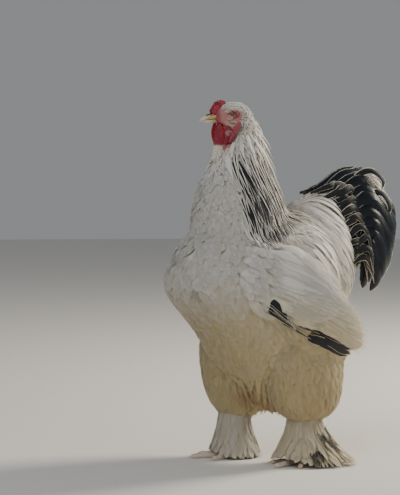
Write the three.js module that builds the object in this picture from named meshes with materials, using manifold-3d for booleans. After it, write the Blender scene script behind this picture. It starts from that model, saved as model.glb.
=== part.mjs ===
// A light Brahma cock at life size, standing with its right foot forward and its head up.
// Lengths are in millimetres and +Z is up. The bird faces -Y, so its left side is at +X.
// The floor is z = 0, and the sizes below are taken round a point between its two feet.

import * as THREE from "three";
import { mergeVertices } from "three/addons/utils/BufferGeometryUtils.js";
import Module from "manifold-3d";

const wasm = await Module();
wasm.setup();

const GAP = 0.3; // the space that two touching parts keep
const MERGE = 1e-3; // vertices closer than this are one
const SHARPEST = 0.4; // the least share of a gap's direction that a face may have at a sharp edge
const LEFT = 1;
const RIGHT = -1;
const SIDES = [LEFT, RIGHT];
const { lerp, smoothstep, degToRad, clamp } = THREE.MathUtils;

// Colours and finishes of the bird's surfaces.
const FINISHES = {
  whitePlumage: { color: 0xe6e0d2, roughness: 0.85 },
  hackle: { color: 0xc9c6bd, roughness: 0.75 },
  blackPlumage: { color: 0x14201f, roughness: 0.4 },
  redSkin: { color: 0xa8202c, roughness: 0.55 },
  horn: { color: 0xc9ab63, roughness: 0.4 },
  iris: { color: 0x7a2c14, roughness: 0.1 },
};

/** The word for a side in a part's name. */
function sideWord(side) {
  return side === LEFT ? "left" : "right";
}

/** A closed three.js geometry as a solid that can be joined and cut. */
function solid(geometry) {
  const bare = geometry.clone();
  bare.deleteAttribute("normal");
  bare.deleteAttribute("uv");
  const merged = mergeVertices(bare, MERGE);
  return new wasm.Manifold(
    new wasm.Mesh({
      numProp: 3,
      vertProperties: merged.attributes.position.array,
      triVerts: new Uint32Array(merged.index.array),
    }),
  );
}

/** The largest closed body of a solid, so that no scrap of a cut is kept. */
function largest(body) {
  return body.decompose().reduce((best, piece) => (piece.volume() > best.volume() ? piece : best));
}

/** Joins solids into one. */
function join(...bodies) {
  return bodies.reduce((whole, body) => whole.add(body));
}

/** Cuts every cutter out of a body and keeps its largest piece. */
function cut(body, ...cutters) {
  return largest(cutters.reduce((left, cutter) => left.subtract(cutter), body));
}

/**
 * A copy of a solid whose faces all stand out by a gap. Each corner moves along the mean of
 * the faces that meet there, far enough to carry every one of those faces with it.
 */
function grown(body, gap = GAP) {
  const { numProp, vertProperties, triVerts } = body.getMesh();
  const corner = (i) => new THREE.Vector3().fromArray(vertProperties, i * numProp);
  const meeting = Array.from({ length: vertProperties.length / numProp }, () => []);
  for (let i = 0; i < triVerts.length; i += 3) {
    const [a, b, c] = [0, 1, 2].map((k) => corner(triVerts[i + k]));
    const normal = b.clone().sub(a).cross(c.clone().sub(a)).normalize();
    for (let k = 0; k < 3; k++) meeting[triVerts[i + k]].push(normal);
  }
  const moved = new Float32Array(meeting.length * 3);
  meeting.forEach((normals, i) => {
    const mean = normals.reduce((sum, normal) => sum.add(normal), new THREE.Vector3()).normalize();
    const least = normals.reduce((low, normal) => Math.min(low, normal.dot(mean)), 1);
    corner(i)
      .addScaledVector(mean, gap / Math.max(least, SHARPEST))
      .toArray(moved, i * 3);
  });
  return new wasm.Manifold(new wasm.Mesh({ numProp: 3, vertProperties: moved, triVerts }));
}

/** A named mesh made from a solid. */
function part(name, body, finish) {
  const { numProp, vertProperties, triVerts } = body.getMesh();
  const position = new Float32Array((vertProperties.length / numProp) * 3);
  for (let i = 0; i * numProp < vertProperties.length; i++)
    position.set(vertProperties.subarray(i * numProp, i * numProp + 3), i * 3);
  const geometry = new THREE.BufferGeometry();
  geometry.setAttribute("position", new THREE.BufferAttribute(position, 3));
  geometry.setIndex(new THREE.BufferAttribute(triVerts, 1));
  geometry.computeVertexNormals();
  const mesh = new THREE.Mesh(geometry, new THREE.MeshStandardMaterial({ metalness: 0, ...finish }));
  mesh.name = name;
  return mesh;
}

/** Moves every vertex of a geometry through a function of its place. */
function reshape(geometry, place) {
  const position = geometry.attributes.position;
  const point = new THREE.Vector3();
  for (let i = 0; i < position.count; i++) {
    point.fromBufferAttribute(position, i);
    position.setXYZ(i, ...place(point).toArray());
  }
  return geometry;
}

/**
 * A rounded form stacked from egg-shaped slices along its own +Z.
 * Each slice has a centre (x, y) at height z, a half width along X, and a reach to the
 * front (-Y) and to the back (+Y).
 */
class Form {
  constructor(slices, { sides = 28, rings = 18, squareness = 2.2 } = {}) {
    this.sides = sides;
    this.rings = rings;
    this.squareness = squareness;
    this.centre = new THREE.CatmullRomCurve3(
      slices.map(({ x = 0, y = 0, z }) => new THREE.Vector3(x, y, z)),
    );
    this.reach = new THREE.CatmullRomCurve3(
      slices.map(({ half, front = half, back = front }) => new THREE.Vector3(half, front, back)),
    );
    this.low = slices[0].z;
    this.high = slices[slices.length - 1].z;
  }

  /** The point of the surface at share t of the stack and an angle from +X towards +Y. */
  at(t, angle, grow = 0) {
    const middle = this.centre.getPoint(t);
    const reach = this.reach.getPoint(t);
    const across = Math.cos(angle);
    const along = Math.sin(angle);
    const power = this.squareness;
    const fit = (Math.abs(across) ** power + Math.abs(along) ** power) ** (-1 / power);
    return new THREE.Vector3(
      middle.x + across * fit * (reach.x + grow),
      middle.y + along * fit * ((along < 0 ? reach.y : reach.z) + grow),
      middle.z,
    );
  }

  /** The share of the stack at height z. */
  shareAt(z) {
    let low = 0;
    let high = 1;
    for (let i = 0; i < 24; i++) {
      const t = (low + high) / 2;
      if (this.centre.getPoint(t).z < z) low = t;
      else high = t;
    }
    return (low + high) / 2;
  }

  /** The surface point at height z and an angle, lifted outwards. */
  surface(z, angle, lift = 0) {
    return this.at(this.shareAt(z), angle, lift);
  }

  /** Moves a point level with a slice out of the form, so that it clears it by a margin. */
  pushOut(point, margin) {
    if (point.z <= this.low || point.z >= this.high) return point;
    const t = this.shareAt(point.z);
    const middle = this.centre.getPoint(t);
    const reach = this.reach.getPoint(t);
    const x = point.x - middle.x;
    const y = point.y - middle.y;
    const power = this.squareness;
    const wide = reach.x + margin;
    const deep = (y < 0 ? reach.y : reach.z) + margin;
    const level = (Math.abs(x / wide) ** power + Math.abs(y / deep) ** power) ** (1 / power);
    if (level >= 1 || level === 0) return point;
    return new THREE.Vector3(middle.x + x / level, middle.y + y / level, point.z);
  }

  /** The closed solid. */
  solid(place = new THREE.Matrix4()) {
    const ball = new THREE.SphereGeometry(1, this.sides, this.rings);
    reshape(ball, ({ x, y, z }) => {
      const t = Math.acos(clamp(-y, -1, 1)) / Math.PI;
      if (Math.hypot(x, z) < MERGE) return this.centre.getPoint(Math.round(t));
      return this.at(t, Math.atan2(-z, x));
    });
    return solid(ball.applyMatrix4(place));
  }
}

/** A ball stretched along three axes. */
function lump(place, radii, sides = 10, rings = 7) {
  const ball = new THREE.SphereGeometry(1, sides, rings).rotateX(Math.PI / 2);
  return solid(ball.scale(...radii).translate(...place));
}

const NEARBY = 0.02; // the step that finds which way a vane faces
const TILT = 1.2; // how far one edge of a vane is lifted over its neighbour
const ROOT_DEPTH = 2.8; // how deep a vane's root sits

/**
 * The vane of one feather as a closed solid. place(t, s) is its inner face, from the root
 * (t = 0) to the tip (t = 1) and from edge to edge (s = -1 to 1). outward is a direction
 * that the outer face looks along. Both faces hold the same triangles.
 */
function vane(place, outward, { thickness = 1.3, tip = 0.7, rows = 4, columns = 1 } = {}) {
  const facing = (t, s) => {
    const along = place(Math.min(1, t + NEARBY), s).sub(place(Math.max(0, t - NEARBY), s));
    return along.cross(place(t, s + NEARBY).sub(place(t, s - NEARBY))).normalize();
  };
  const turn = facing(0.5, 0).dot(outward) < 0 ? -1 : 1;
  const inner = [];
  const outer = [];
  for (let row = 0; row <= rows; row++)
    for (let column = 0; column <= columns; column++) {
      const t = row / rows;
      const s = turn * ((2 * column) / columns - 1);
      const point = place(t, s);
      inner.push(point);
      outer.push(point.clone().addScaledVector(facing(t, s), turn * lerp(thickness, tip, t)));
    }
  const index = [];
  const far = inner.length;
  const at = (row, column) => row * (columns + 1) + column;
  for (let row = 0; row < rows; row++)
    for (let column = 0; column < columns; column++) {
      const [a, b] = [at(row, column), at(row + 1, column)];
      const [c, d] = [at(row + 1, column + 1), at(row, column + 1)];
      index.push(far + a, far + b, far + c, far + a, far + c, far + d);
      index.push(a, c, b, a, d, c);
    }
  const rim = [];
  for (let row = 0; row < rows; row++) rim.push(at(row, 0));
  for (let column = 0; column < columns; column++) rim.push(at(rows, column));
  for (let row = rows; row > 0; row--) rim.push(at(row, columns));
  for (let column = columns; column > 0; column--) rim.push(at(0, column));
  rim.forEach((p, i) => {
    const q = rim[(i + 1) % rim.length];
    index.push(far + q, far + p, p, far + q, p, q);
  });
  const geometry = new THREE.BufferGeometry().setFromPoints([...inner, ...outer]);
  geometry.setIndex(index);
  return solid(geometry);
}

/** The share of its full width that a pointed feather has at share t of its length. */
function pointed(t) {
  return 0.55 + 0.45 * smoothstep(t, 0, 0.35) - 0.88 * smoothstep(t, 0.45, 1);
}

/** The same for a feather with a blunt, round end. */
function rounded(t) {
  return 0.45 + 0.55 * smoothstep(t, 0, 0.4) - 0.62 * smoothstep(t, 0.72, 1) ** 1.4;
}

/** The height over the skin at share t of a feather that is rooted in it and lifts soon. */
function rooted(t, lift) {
  return lerp(-ROOT_DEPTH, lift, Math.min(1, 1.8 * t));
}

/** A strip along a path that faces outward, with edges that bow back from its middle. */
function strip({ path, outward, width, shape, bow }) {
  const curve = new THREE.CatmullRomCurve3(path);
  return (t, s) => {
    const across = outward.clone().cross(curve.getTangent(t)).normalize();
    return curve
      .getPoint(t)
      .addScaledVector(across, (s * width * shape(t)) / 2)
      .addScaledVector(outward, -bow * s * s);
  };
}

// The trunk: belly, full breast and back. It is deepest at the breast, which overhangs.
const TRUNK = new Form(
  [
    { z: 92, y: 8, half: 16, front: 16, back: 20 },
    { z: 104, y: 6, half: 42, front: 46, back: 56 },
    { z: 140, y: 0, half: 66, front: 78, back: 92 },
    { z: 205, y: -14, half: 88, front: 118, back: 132 },
    { z: 262, y: -20, half: 124, front: 142, back: 150 },
    { z: 296, y: -20, half: 132, front: 172, back: 152 },
    { z: 345, y: -20, half: 135, front: 209, back: 150 },
    { z: 392, y: -20, half: 128, front: 196, back: 144 },
    { z: 436, y: -22, half: 111, front: 165, back: 132 },
    { z: 468, y: -24, half: 80, front: 117, back: 102 },
    { z: 484, y: -26, half: 34, front: 52, back: 48 },
    { z: 488, y: -26, half: 12, front: 18, back: 16 },
  ],
  { sides: 26, rings: 17 },
);

// The neck's own form, from inside the trunk to the back of the head.
const NECK = new Form(
  [
    { z: 396, y: -78, half: 84, front: 86, back: 92 },
    { z: 440, y: -77, half: 93, front: 96, back: 98 },
    { z: 493, y: -74, half: 84, front: 94, back: 85 },
    { z: 545, y: -76, half: 66, front: 78, back: 68 },
    { z: 598, y: -72, half: 47, front: 56, back: 48 },
    { z: 620, y: -71, half: 39, front: 39, back: 43 },
    { z: 642, y: -71, half: 31, front: 28, back: 37 },
    { z: 668, y: -77, half: 23, front: 20, back: 29 },
    { z: 678, y: -80, half: 10, front: 9, back: 13 },
  ],
  { sides: 24, rings: 11, squareness: 2 },
);

// The tiers of the hackle: how far above its lower edge their tips are, and their feathers.
const HACKLE_TIERS = [
  { rise: 0, count: 16, length: 88, width: 20, lift: 3 },
  { rise: 54, count: 12, length: 86, width: 20, lift: 6 },
  { rise: 108, count: 9, length: 80, width: 18, lift: 8 },
];
const HACKLE_OPENING = degToRad(62); // the bare bib, to each side of the front
const HACKLE_TOP = 646;

/** The height of the hackle's lower edge at an angle round the neck. */
function hackleEdge(angle) {
  const front = Math.max(0, -Math.sin(angle));
  const back = Math.max(0, Math.sin(angle));
  return 416 + 70 * front ** 1.6 + 24 * back ** 2;
}

/** One tier of the hackle, as feathers that lie on the neck and spread over the shoulders. */
function hackleTier({ rise, count, length, width, lift }) {
  const sweep = 2 * (Math.PI - HACKLE_OPENING);
  return Array.from({ length: count }, (_, i) => {
    const angle = -Math.PI / 2 + HACKLE_OPENING + (sweep * (i + (rise ? 0.5 : 0.25))) / count;
    const low = hackleEdge(angle) + rise;
    const high = Math.min(HACKLE_TOP, low + length);
    const place = (t, s) => {
      const z = lerp(high, low, t) + 5 * s * s * t;
      const radius = NECK.reach.getPoint(NECK.shareAt(z)).x;
      const turn = (s * width * pointed(t)) / 2 / radius;
      const above = rooted(t, lift) + TILT * s;
      const clear = TRUNK.pushOut(NECK.surface(z, angle + turn, above), lift + 1 + TILT * s);
      return clearOfWings(clear, lift);
    };
    const outward = new THREE.Vector3(Math.cos(angle), Math.sin(angle), 0);
    return vane(place, outward, { rows: 3, thickness: 1.4, tip: 0.8 });
  });
}

// The cushion of saddle feathers between the back and the tail.
const SADDLE = new Form(
  [
    { z: 296, y: 146, half: 16, front: 16, back: 12 },
    { z: 320, y: 134, half: 52, front: 50, back: 32 },
    { z: 365, y: 110, half: 82, front: 78, back: 58 },
    { z: 415, y: 96, half: 87, front: 82, back: 70 },
    { z: 460, y: 94, half: 74, front: 70, back: 60 },
    { z: 498, y: 100, half: 49, front: 46, back: 42 },
    { z: 518, y: 108, half: 26, front: 24, back: 24 },
    { z: 526, y: 112, half: 10, front: 10, back: 10 },
  ],
  { sides: 20, rings: 11 },
);
const SADDLE_TIERS = [
  { count: 4, from: 4, to: 62, high: 430, low: 312, width: 24, lift: 4 },
  { count: 4, from: 10, to: 66, high: 505, low: 395, width: 22, lift: 7.5 },
];

/** One tier of the saddle's hanging feathers, on both sides of the back. */
function saddleTier({ count, from, to, high, low, width, lift }) {
  return SIDES.flatMap((side) =>
    Array.from({ length: count }, (_, i) => {
      const turn = degToRad(lerp(from, to, i / (count - 1)));
      const angle = side === LEFT ? turn : Math.PI - turn;
      const place = (t, s) => {
        const z = lerp(high, low, t) + 6 * s * s * t;
        const radius = SADDLE.reach.getPoint(SADDLE.shareAt(z)).x;
        const shift = (s * width * pointed(t)) / 2 / radius;
        return SADDLE.surface(z, angle + shift + side * 0.16 * t, rooted(t, lift) + TILT * s);
      };
      return vane(place, new THREE.Vector3(Math.cos(angle), Math.sin(angle), 0), { rows: 3 });
    }),
  );
}

// The fluffed left thigh. The right one is the same shape, set forward by the stride.
const STRIDE = 74;
const THIGH_SLICES = [
  { z: 82, half: 20, front: 22, back: 24 },
  { z: 96, half: 42, front: 46, back: 52 },
  { z: 130, half: 58, front: 70, back: 76 },
  { z: 185, half: 64, front: 84, back: 82 },
  { z: 240, half: 62, front: 84, back: 78 },
  { z: 292, half: 48, front: 66, back: 60 },
  { z: 320, half: 26, front: 34, back: 30 },
];
const THIGH_APART = 66; // from the middle of the bird to the middle of a thigh
const THIGH_LEFT_Y = 30;

/** The thigh on one side. */
function thighForm(side) {
  const y = side === LEFT ? THIGH_LEFT_Y : THIGH_LEFT_Y - STRIDE * 0.82;
  const slices = THIGH_SLICES.map((slice) => ({ ...slice, x: side * THIGH_APART, y }));
  return new Form(slices, { sides: 20, rings: 10 });
}

// The folded wing: an almond that lies on the flank and points down and back.
const WING = {
  shoulder: new THREE.Vector2(-152, 404), // (y, z) of its front end
  tip: new THREE.Vector2(128, 222), // (y, z) of its rear end
  chord: 64, // half of its usual width
  thickness: 17, // half of its greatest thickness
  crest: { x: 149, y: -20, z: 320 }, // the point that stands out most
  bendForward: 0.0019, // how fast the flank turns in towards the breast
  bendBack: 0.00098, // and towards the tail
  bendUp: 0.0013,
};

/** How far out the wing's surface is at (y, z). */
function wingReach(y, z) {
  const { crest, bendForward, bendBack, bendUp } = WING;
  const bend = y < crest.y ? bendForward : bendBack;
  return crest.x - bend * (y - crest.y) ** 2 - bendUp * (z - crest.z) ** 2;
}

/** Half of the wing's width at a share of its length. */
function wingChord(along) {
  return WING.chord * (0.62 + 0.7 * Math.sin(Math.PI * clamp(0.14 + 0.72 * along, 0, 1)) ** 1.5);
}

/** The (y, z) of a share along the wing and a share across it. */
function wingPlace(along, across) {
  const axis = WING.tip.clone().sub(WING.shoulder);
  const up = new THREE.Vector2(-axis.y, axis.x).normalize();
  const place = WING.shoulder.clone().add(axis.multiplyScalar(along));
  return place.add(up.multiplyScalar(across * wingChord(along)));
}

/** How much of its full width the wing's almond has at a height along its own ball. */
function wingFill(height) {
  return Math.max(0.35, Math.sqrt(1 - height * height) + 0.12);
}

/** How far out the wing's outer face is at (y, z), or nothing away from the wing. */
function wingFace(y, z) {
  const axis = WING.tip.clone().sub(WING.shoulder);
  const from = new THREE.Vector2(y, z).sub(WING.shoulder);
  const along = from.dot(axis) / axis.lengthSq();
  const height = 2 * along - 1;
  if (Math.abs(height) >= 1) return null;
  const up = new THREE.Vector2(-axis.y, axis.x).normalize();
  const across = (from.dot(up) / wingChord(along)) * wingFill(height);
  const level = height * height + across * across;
  return level >= 1 ? null : wingReach(y, z) - WING.thickness * (1 - Math.sqrt(1 - level));
}

/** Moves a point off the flank where it would meet a wing. */
function clearOfWings(point, margin) {
  const face = wingFace(point.y, point.z);
  if (face === null || Math.abs(point.x) >= face + margin) return point;
  return point.setX(Math.sign(point.x) * (face + margin));
}

/** The almond of the wing on one side. */
function wingShield(side) {
  const ball = new THREE.SphereGeometry(1, 18, 11);
  reshape(ball, ({ x, y, z }) => {
    const place = wingPlace((1 + y) / 2, z / wingFill(y));
    const reach = wingReach(place.x, place.y) + WING.thickness * (side * x - 1);
    return new THREE.Vector3(side * reach, place.x, place.y);
  });
  return solid(ball);
}

// The wing's tiers. Each runs from one share along the wing to another, and is spread
// between two shares across it.
const WING_TIERS = [
  { count: 4, from: 0.56, to: 1.03, low: -1.0, high: -0.68, width: 14, lift: 1.5, fan: -0.2 },
  { count: 6, from: 0.48, to: 0.98, low: -0.58, high: 0.66, width: 18, lift: 3.2, fan: 0.18 },
  { count: 6, from: 0.24, to: 0.62, low: -0.82, high: 0.78, width: 24, lift: 6.5, fan: 0.06 },
];

/** One tier of a wing's feathers. */
function wingTier(side, { count, from, to, low, high, width, lift, fan }) {
  return Array.from({ length: count }, (_, i) => {
    const across = lerp(low, high, i / (count - 1));
    const path = (t) => wingPlace(lerp(from, to, t), across * (1 - fan * t));
    const place = (t, s) => {
      const ahead = path(t + NEARBY).sub(path(t - NEARBY)).normalize();
      const sideways = new THREE.Vector2(-ahead.y, ahead.x);
      const spot = path(t).add(sideways.multiplyScalar((s * width * rounded(t)) / 2));
      const rise = rooted(t, lift) + TILT * s;
      const base = wingFace(spot.x, spot.y) ?? wingReach(spot.x, spot.y) - WING.thickness;
      return new THREE.Vector3(side * (base + rise), spot.x, spot.y);
    };
    return vane(place, new THREE.Vector3(side, 0, 0), { rows: 3 });
  });
}

// The tail: a root behind the saddle, and its feathers, which fan up, back and down.
const TAIL_ROOT = new Form(
  [
    { z: 350, y: 172, half: 12, front: 10, back: 12 },
    { z: 372, y: 174, half: 30, front: 26, back: 26 },
    { z: 410, y: 172, half: 36, front: 34, back: 36 },
    { z: 450, y: 164, half: 34, front: 32, back: 40 },
    { z: 484, y: 158, half: 24, front: 24, back: 32 },
    { z: 500, y: 158, half: 9, front: 9, back: 12 },
  ],
  { sides: 18, rings: 10 },
);
const TAIL_HUB = new THREE.Vector3(0, 148, 428); // where the quills of the fan meet
const MAIN_FEATHERS = { count: 5, steepest: 78, lowest: -26, length: 122, width: 46 };

/** The main tail feathers of one side, which fan out of the hub. */
function mainFeathers(side) {
  const { count, steepest, lowest, length, width } = MAIN_FEATHERS;
  return Array.from({ length: count }, (_, i) => {
    const share = i / (count - 1);
    const steep = degToRad(lerp(steepest, lowest, share));
    const spread = degToRad(lerp(5, 20, share));
    const along = new THREE.Vector3(
      side * Math.sin(spread),
      Math.cos(spread) * Math.cos(steep),
      Math.cos(spread) * Math.sin(steep),
    );
    const reach = length * (0.94 + 0.1 * Math.sin(Math.PI * share));
    const path = [0.16, 0.5, 0.8, 1].map((step) =>
      TAIL_HUB.clone()
        .addScaledVector(along, step * reach)
        .add(new THREE.Vector3(side * (4 + 9 * step), 0, -10 * step * step)),
    );
    const outward = new THREE.Vector3(side, 0, 0);
    const place = strip({ path, outward, width, shape: rounded, bow: 2.5 });
    return vane(place, outward, { rows: 3 });
  });
}

// The curved feathers over each side of the tail, as the (x, y, z) of points along each.
const SICKLES = [
  { width: 28, path: [[8, 150, 470], [22, 172, 552], [34, 230, 522], [42, 250, 430]] },
  { width: 28, path: [[16, 158, 462], [38, 190, 528], [50, 230, 482], [54, 240, 388]] },
  { width: 28, path: [[20, 164, 446], [48, 194, 494], [60, 220, 440], [58, 222, 350]] },
  { width: 27, path: [[20, 156, 476], [44, 172, 518], [60, 200, 488], [68, 212, 424]] },
  { width: 27, path: [[26, 164, 452], [60, 178, 480], [72, 196, 438], [72, 200, 372]] },
  { width: 26, path: [[28, 166, 424], [62, 180, 440], [72, 188, 396], [64, 186, 336]] },
];

/** One curved feather of the tail. */
function sickle(side, { width, path: points }) {
  const path = points.map(([x, y, z]) => new THREE.Vector3(side * x, y, z));
  const outward = new THREE.Vector3(side, 0.35, 0.1);
  const place = strip({ path, outward, width, shape: pointed, bow: 1.8 });
  return vane(place, outward, { rows: 5, thickness: 1.4 });
}

// A foot: its ankle, the way it points, and its toes as a share of the middle one.
const SHANK_APART = 64;
const LEFT_ANKLE_Y = 30;
const TOE_OUT = degToRad(17);
const MIDDLE_TOE = 88;
const TOES = [
  { name: "inner", turn: -34, length: 0.74, girth: 0.9 },
  { name: "middle", turn: 0, length: 1, girth: 1 },
  { name: "outer", turn: 32, length: 0.8, girth: 0.88 },
  { name: "back", turn: 172, length: 0.4, girth: 0.8 },
];
const TOE_GIRTH = 7.4; // half the width of the middle toe at its root
const TOE_SHARES = [0, 0.17, 0.33, 0.5, 0.67, 0.83, 0.96];
const CLAW_LENGTH = 15;

/** The middle of one foot's ankle, on the floor. */
function ankle(side) {
  return new THREE.Vector3(side * SHANK_APART, side === LEFT ? LEFT_ANKLE_Y : LEFT_ANKLE_Y - STRIDE, 0);
}

/** The way that a toe or a feather points from the ankle, on the floor. */
function footDirection(side, turn) {
  const angle = side * (TOE_OUT + degToRad(turn));
  return new THREE.Vector3(Math.sin(angle), -Math.cos(angle), 0);
}

/** A matrix that carries local +Z onto a direction and the origin onto a place. */
function aim(place, direction) {
  const turn = new THREE.Quaternion().setFromUnitVectors(
    new THREE.Vector3(0, 0, 1),
    direction.clone().normalize(),
  );
  return new THREE.Matrix4().compose(place, turn, new THREE.Vector3(1, 1, 1));
}

/** The part of space above the floor round a foot. */
function aboveFloor(centre) {
  const size = 400;
  const block = new THREE.BoxGeometry(size, size, size);
  return solid(block.translate(centre.x, centre.y, size / 2));
}

/** One toe with its knuckles, lying on the floor. */
function toe(side, { turn, length, girth }) {
  const wide = TOE_GIRTH * girth;
  const pad = (share) => wide * (1 - 0.3 * share) * (1 + 0.1 * Math.cos(6 * Math.PI * share));
  const slices = TOE_SHARES.map((share) => ({ z: share * MIDDLE_TOE * length, half: pad(share) }));
  const place = aim(ankle(side).setZ(wide * 0.8), footDirection(side, turn).setZ(-0.02));
  return new Form(slices, { sides: 8, rings: 9, squareness: 2 }).solid(place);
}

/** The curved claw of one toe, clear of the toe's end. */
function claw(side, { turn, length, girth }) {
  const thick = TOE_GIRTH * girth * 0.5;
  const cone = new THREE.ConeGeometry(thick, CLAW_LENGTH, 6, 3);
  reshape(cone, ({ x, y, z }) => {
    const out = y + CLAW_LENGTH / 2;
    return new THREE.Vector3(-x, z * 1.2 - 0.016 * out * out, out);
  });
  const direction = footDirection(side, turn);
  const basis = new THREE.Matrix4().makeBasis(
    new THREE.Vector3(-direction.y, direction.x, 0),
    new THREE.Vector3(0, 0, 1),
    direction,
  );
  const start = ankle(side).addScaledVector(direction, MIDDLE_TOE * length * 0.9);
  basis.setPosition(start.setZ(thick * 1.2 + 1.2));
  return solid(cone.applyMatrix4(basis));
}

// The shank, from the thigh's fluff down to the toes.
const SHANK_SLICES = [
  { z: 8, half: 14, front: 14, back: 15 },
  { z: 24, half: 21, front: 20, back: 22 },
  { z: 58, half: 22, front: 22, back: 24 },
  { z: 92, half: 27, front: 26, back: 30 },
  { z: 130, half: 22, front: 22, back: 24 },
];
const SHANK_FEATHERS = [
  { turn: 50, length: 40 },
  { turn: 95, length: 48 },
  { turn: 140, length: 46 },
];

/** The form of the shank on one side. */
function shankForm(side) {
  const { x, y } = ankle(side);
  const slices = SHANK_SLICES.map((slice) => ({ ...slice, x, y }));
  return new Form(slices, { sides: 16, rings: 7, squareness: 2 });
}

/** A feather that leaves a leg at a height and bends out and down. */
function legFeather(side, { turn, start, from, to, length, width }) {
  const direction = footDirection(side, turn);
  const across = new THREE.Vector3(-direction.y, direction.x, 0);
  const place = (t, s) => {
    const out = lerp(start, length, t ** 1.2);
    const height = lerp(from, to, 1 - (1 - t) ** 2) - 1.4 * s * s + 0.8 * s;
    return ankle(side)
      .addScaledVector(direction, out)
      .addScaledVector(across, (s * width * rounded(t)) / 2)
      .setZ(height);
  };
  return vane(place, direction.clone().setZ(1), { rows: 3, thickness: 1.6, tip: 0.9 });
}

/** The feathers of one shank, on its outer side. */
function shankFeathers(side) {
  const common = { start: 17, from: 92, to: 36, width: 24 };
  return SHANK_FEATHERS.map((spec) => legFeather(side, { ...common, ...spec }));
}

/** The feathers of one foot: a low fan round its outer side, and a short tier above it. */
function footFeathers(side) {
  const fan = (count, spec) => Array.from({ length: count }, (_, i) => spec(i / (count - 1)));
  const low = fan(6, (share) => ({
    turn: lerp(52, 194, share),
    start: 14,
    from: 20,
    to: 0.6,
    length: 72 + 36 * Math.sin(Math.PI * (0.06 + 0.84 * share)) ** 2,
    width: 29,
  }));
  const high = fan(4, (share) => ({
    turn: lerp(40, 182, share),
    start: 15,
    from: 38,
    to: 13,
    length: 58 + 34 * Math.sin(Math.PI * share),
    width: 24,
  }));
  return [...low, ...high].map((feather) => legFeather(side, feather));
}

// The head, round a point midway between the eyes, facing -Y.
const HEAD_PLACE = new THREE.Vector3(0, -98, 667);
const HEAD_TURN = degToRad(-15); // towards the bird's right
const HEAD = new Form(
  [
    { z: -38, y: 8, half: 9, front: 10, back: 12 },
    { z: -31, y: 6, half: 15, front: 19, back: 26 },
    { z: -18, y: 2, half: 19.5, front: 29, back: 33 },
    { z: -5, y: 0, half: 21, front: 33, back: 35 },
    { z: 7, y: 1, half: 20, front: 31, back: 34 },
    { z: 17, y: 4, half: 15.5, front: 24, back: 28 },
    { z: 23, y: 8, half: 7, front: 12, back: 14 },
  ],
  { sides: 18, rings: 11 },
);
const EYE = { out: 15.2, up: 0, radius: 7.2 };
const BEAK_ROOT = new THREE.Vector3(0, -24, -4);
const BEAK_LENGTH = 36;
const MOUTH_DEPTH = -10.6; // from the middle of the eyes

/** Local +Z along the beak and local +Y up. */
function beakFrame() {
  const frame = new THREE.Matrix4().makeBasis(
    new THREE.Vector3(1, 0, 0),
    new THREE.Vector3(0, 0, 1),
    new THREE.Vector3(0, -1, 0),
  );
  return frame.setPosition(BEAK_ROOT);
}

/** The upper beak: a ridged, hooked horn with a nostril on each side. */
function upperBeak() {
  const horn = new Form(
    [
      { z: 0, y: -1, half: 8.4, front: 6.2, back: 7.6 },
      { z: 9, y: -1, half: 8, front: 5.8, back: 7.2 },
      { z: 20, y: -2, half: 6.2, front: 4.6, back: 5.6 },
      { z: 29, y: -4.4, half: 3.9, front: 3.4, back: 3.6 },
      { z: 35, y: -8, half: 1.6, front: 2, back: 1.6 },
      { z: BEAK_LENGTH, y: -9.4, half: 0.5, front: 0.6, back: 0.5 },
    ],
    { sides: 12, rings: 8, squareness: 2 },
  ).solid(beakFrame());
  return cut(horn, ...SIDES.map((side) => lump([side * 6.9, -38.5, -3.2], [1.6, 2.6, 1], 8, 6)));
}

/** The lower beak, shorter and flatter. */
function lowerBeak() {
  return new Form(
    [
      { z: 0, y: -9.5, half: 6.6, front: 3.4, back: 5 },
      { z: 12, y: -9.5, half: 5.6, front: 3, back: 4 },
      { z: 23, y: -9.6, half: 3.6, front: 2.2, back: 2.6 },
      { z: 29, y: -9.8, half: 1.2, front: 0.9, back: 1 },
    ],
    { sides: 12, rings: 7, squareness: 2 },
  ).solid(beakFrame());
}

/** The pea comb: three low rows of beads that run from the beak up over the brow. */
function peaComb() {
  const rows = [
    { side: 0, count: 6, size: 4.2, rise: 2.4 },
    { side: -1, count: 3, size: 4, rise: 0 },
    { side: 1, count: 3, size: 4, rise: 0 },
  ];
  const beads = rows.flatMap(({ side, count, size, rise }) =>
    Array.from({ length: count }, (_, i) => {
      const share = i / (count - 1);
      const swell = 0.75 + 0.5 * Math.sin(Math.PI * (0.15 + 0.75 * share));
      const y = -33 + 30 * share - 3 * Math.abs(side);
      const z = 5 + 19.5 * share ** 0.85 + 3 * Math.sin(Math.PI * share) + rise;
      return lump([side * 4.6, y, z], [size * 0.9, size * 1.05 * swell, size * 1.3 * swell], 6, 4);
    }),
  );
  return join(...beads);
}

/** A hanging wattle on one side of the chin. */
function wattle(side) {
  const ball = new THREE.SphereGeometry(1, 12, 9).rotateX(Math.PI / 2);
  reshape(ball, ({ x, y, z }) => {
    const hang = (1 - z) / 2;
    const wide = 6.5 + 3.4 * Math.sin(Math.PI * Math.min(1, hang * 1.05)) * hang;
    const bow = side * (2.4 * hang + 1.6 * Math.sin(2 * Math.PI * hang));
    return new THREE.Vector3(side * 11 + x * 3.1 + bow, -22 + y * wide + 2 * hang, -17 - 42 * hang);
  });
  return solid(ball);
}

/** The long red lobe below one ear. */
function earLobe(side) {
  const ball = new THREE.SphereGeometry(1, 10, 8).rotateX(Math.PI / 2);
  reshape(ball, ({ x, y, z }) => {
    const hang = (1 - z) / 2;
    const wide = 4.6 + 1.6 * Math.sin(Math.PI * hang);
    const out = side * (23.5 + 4 * hang) + x * 3.4;
    return new THREE.Vector3(out, 8 - 12 * hang + y * wide, -12 - 36 * hang);
  });
  return solid(ball);
}

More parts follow.
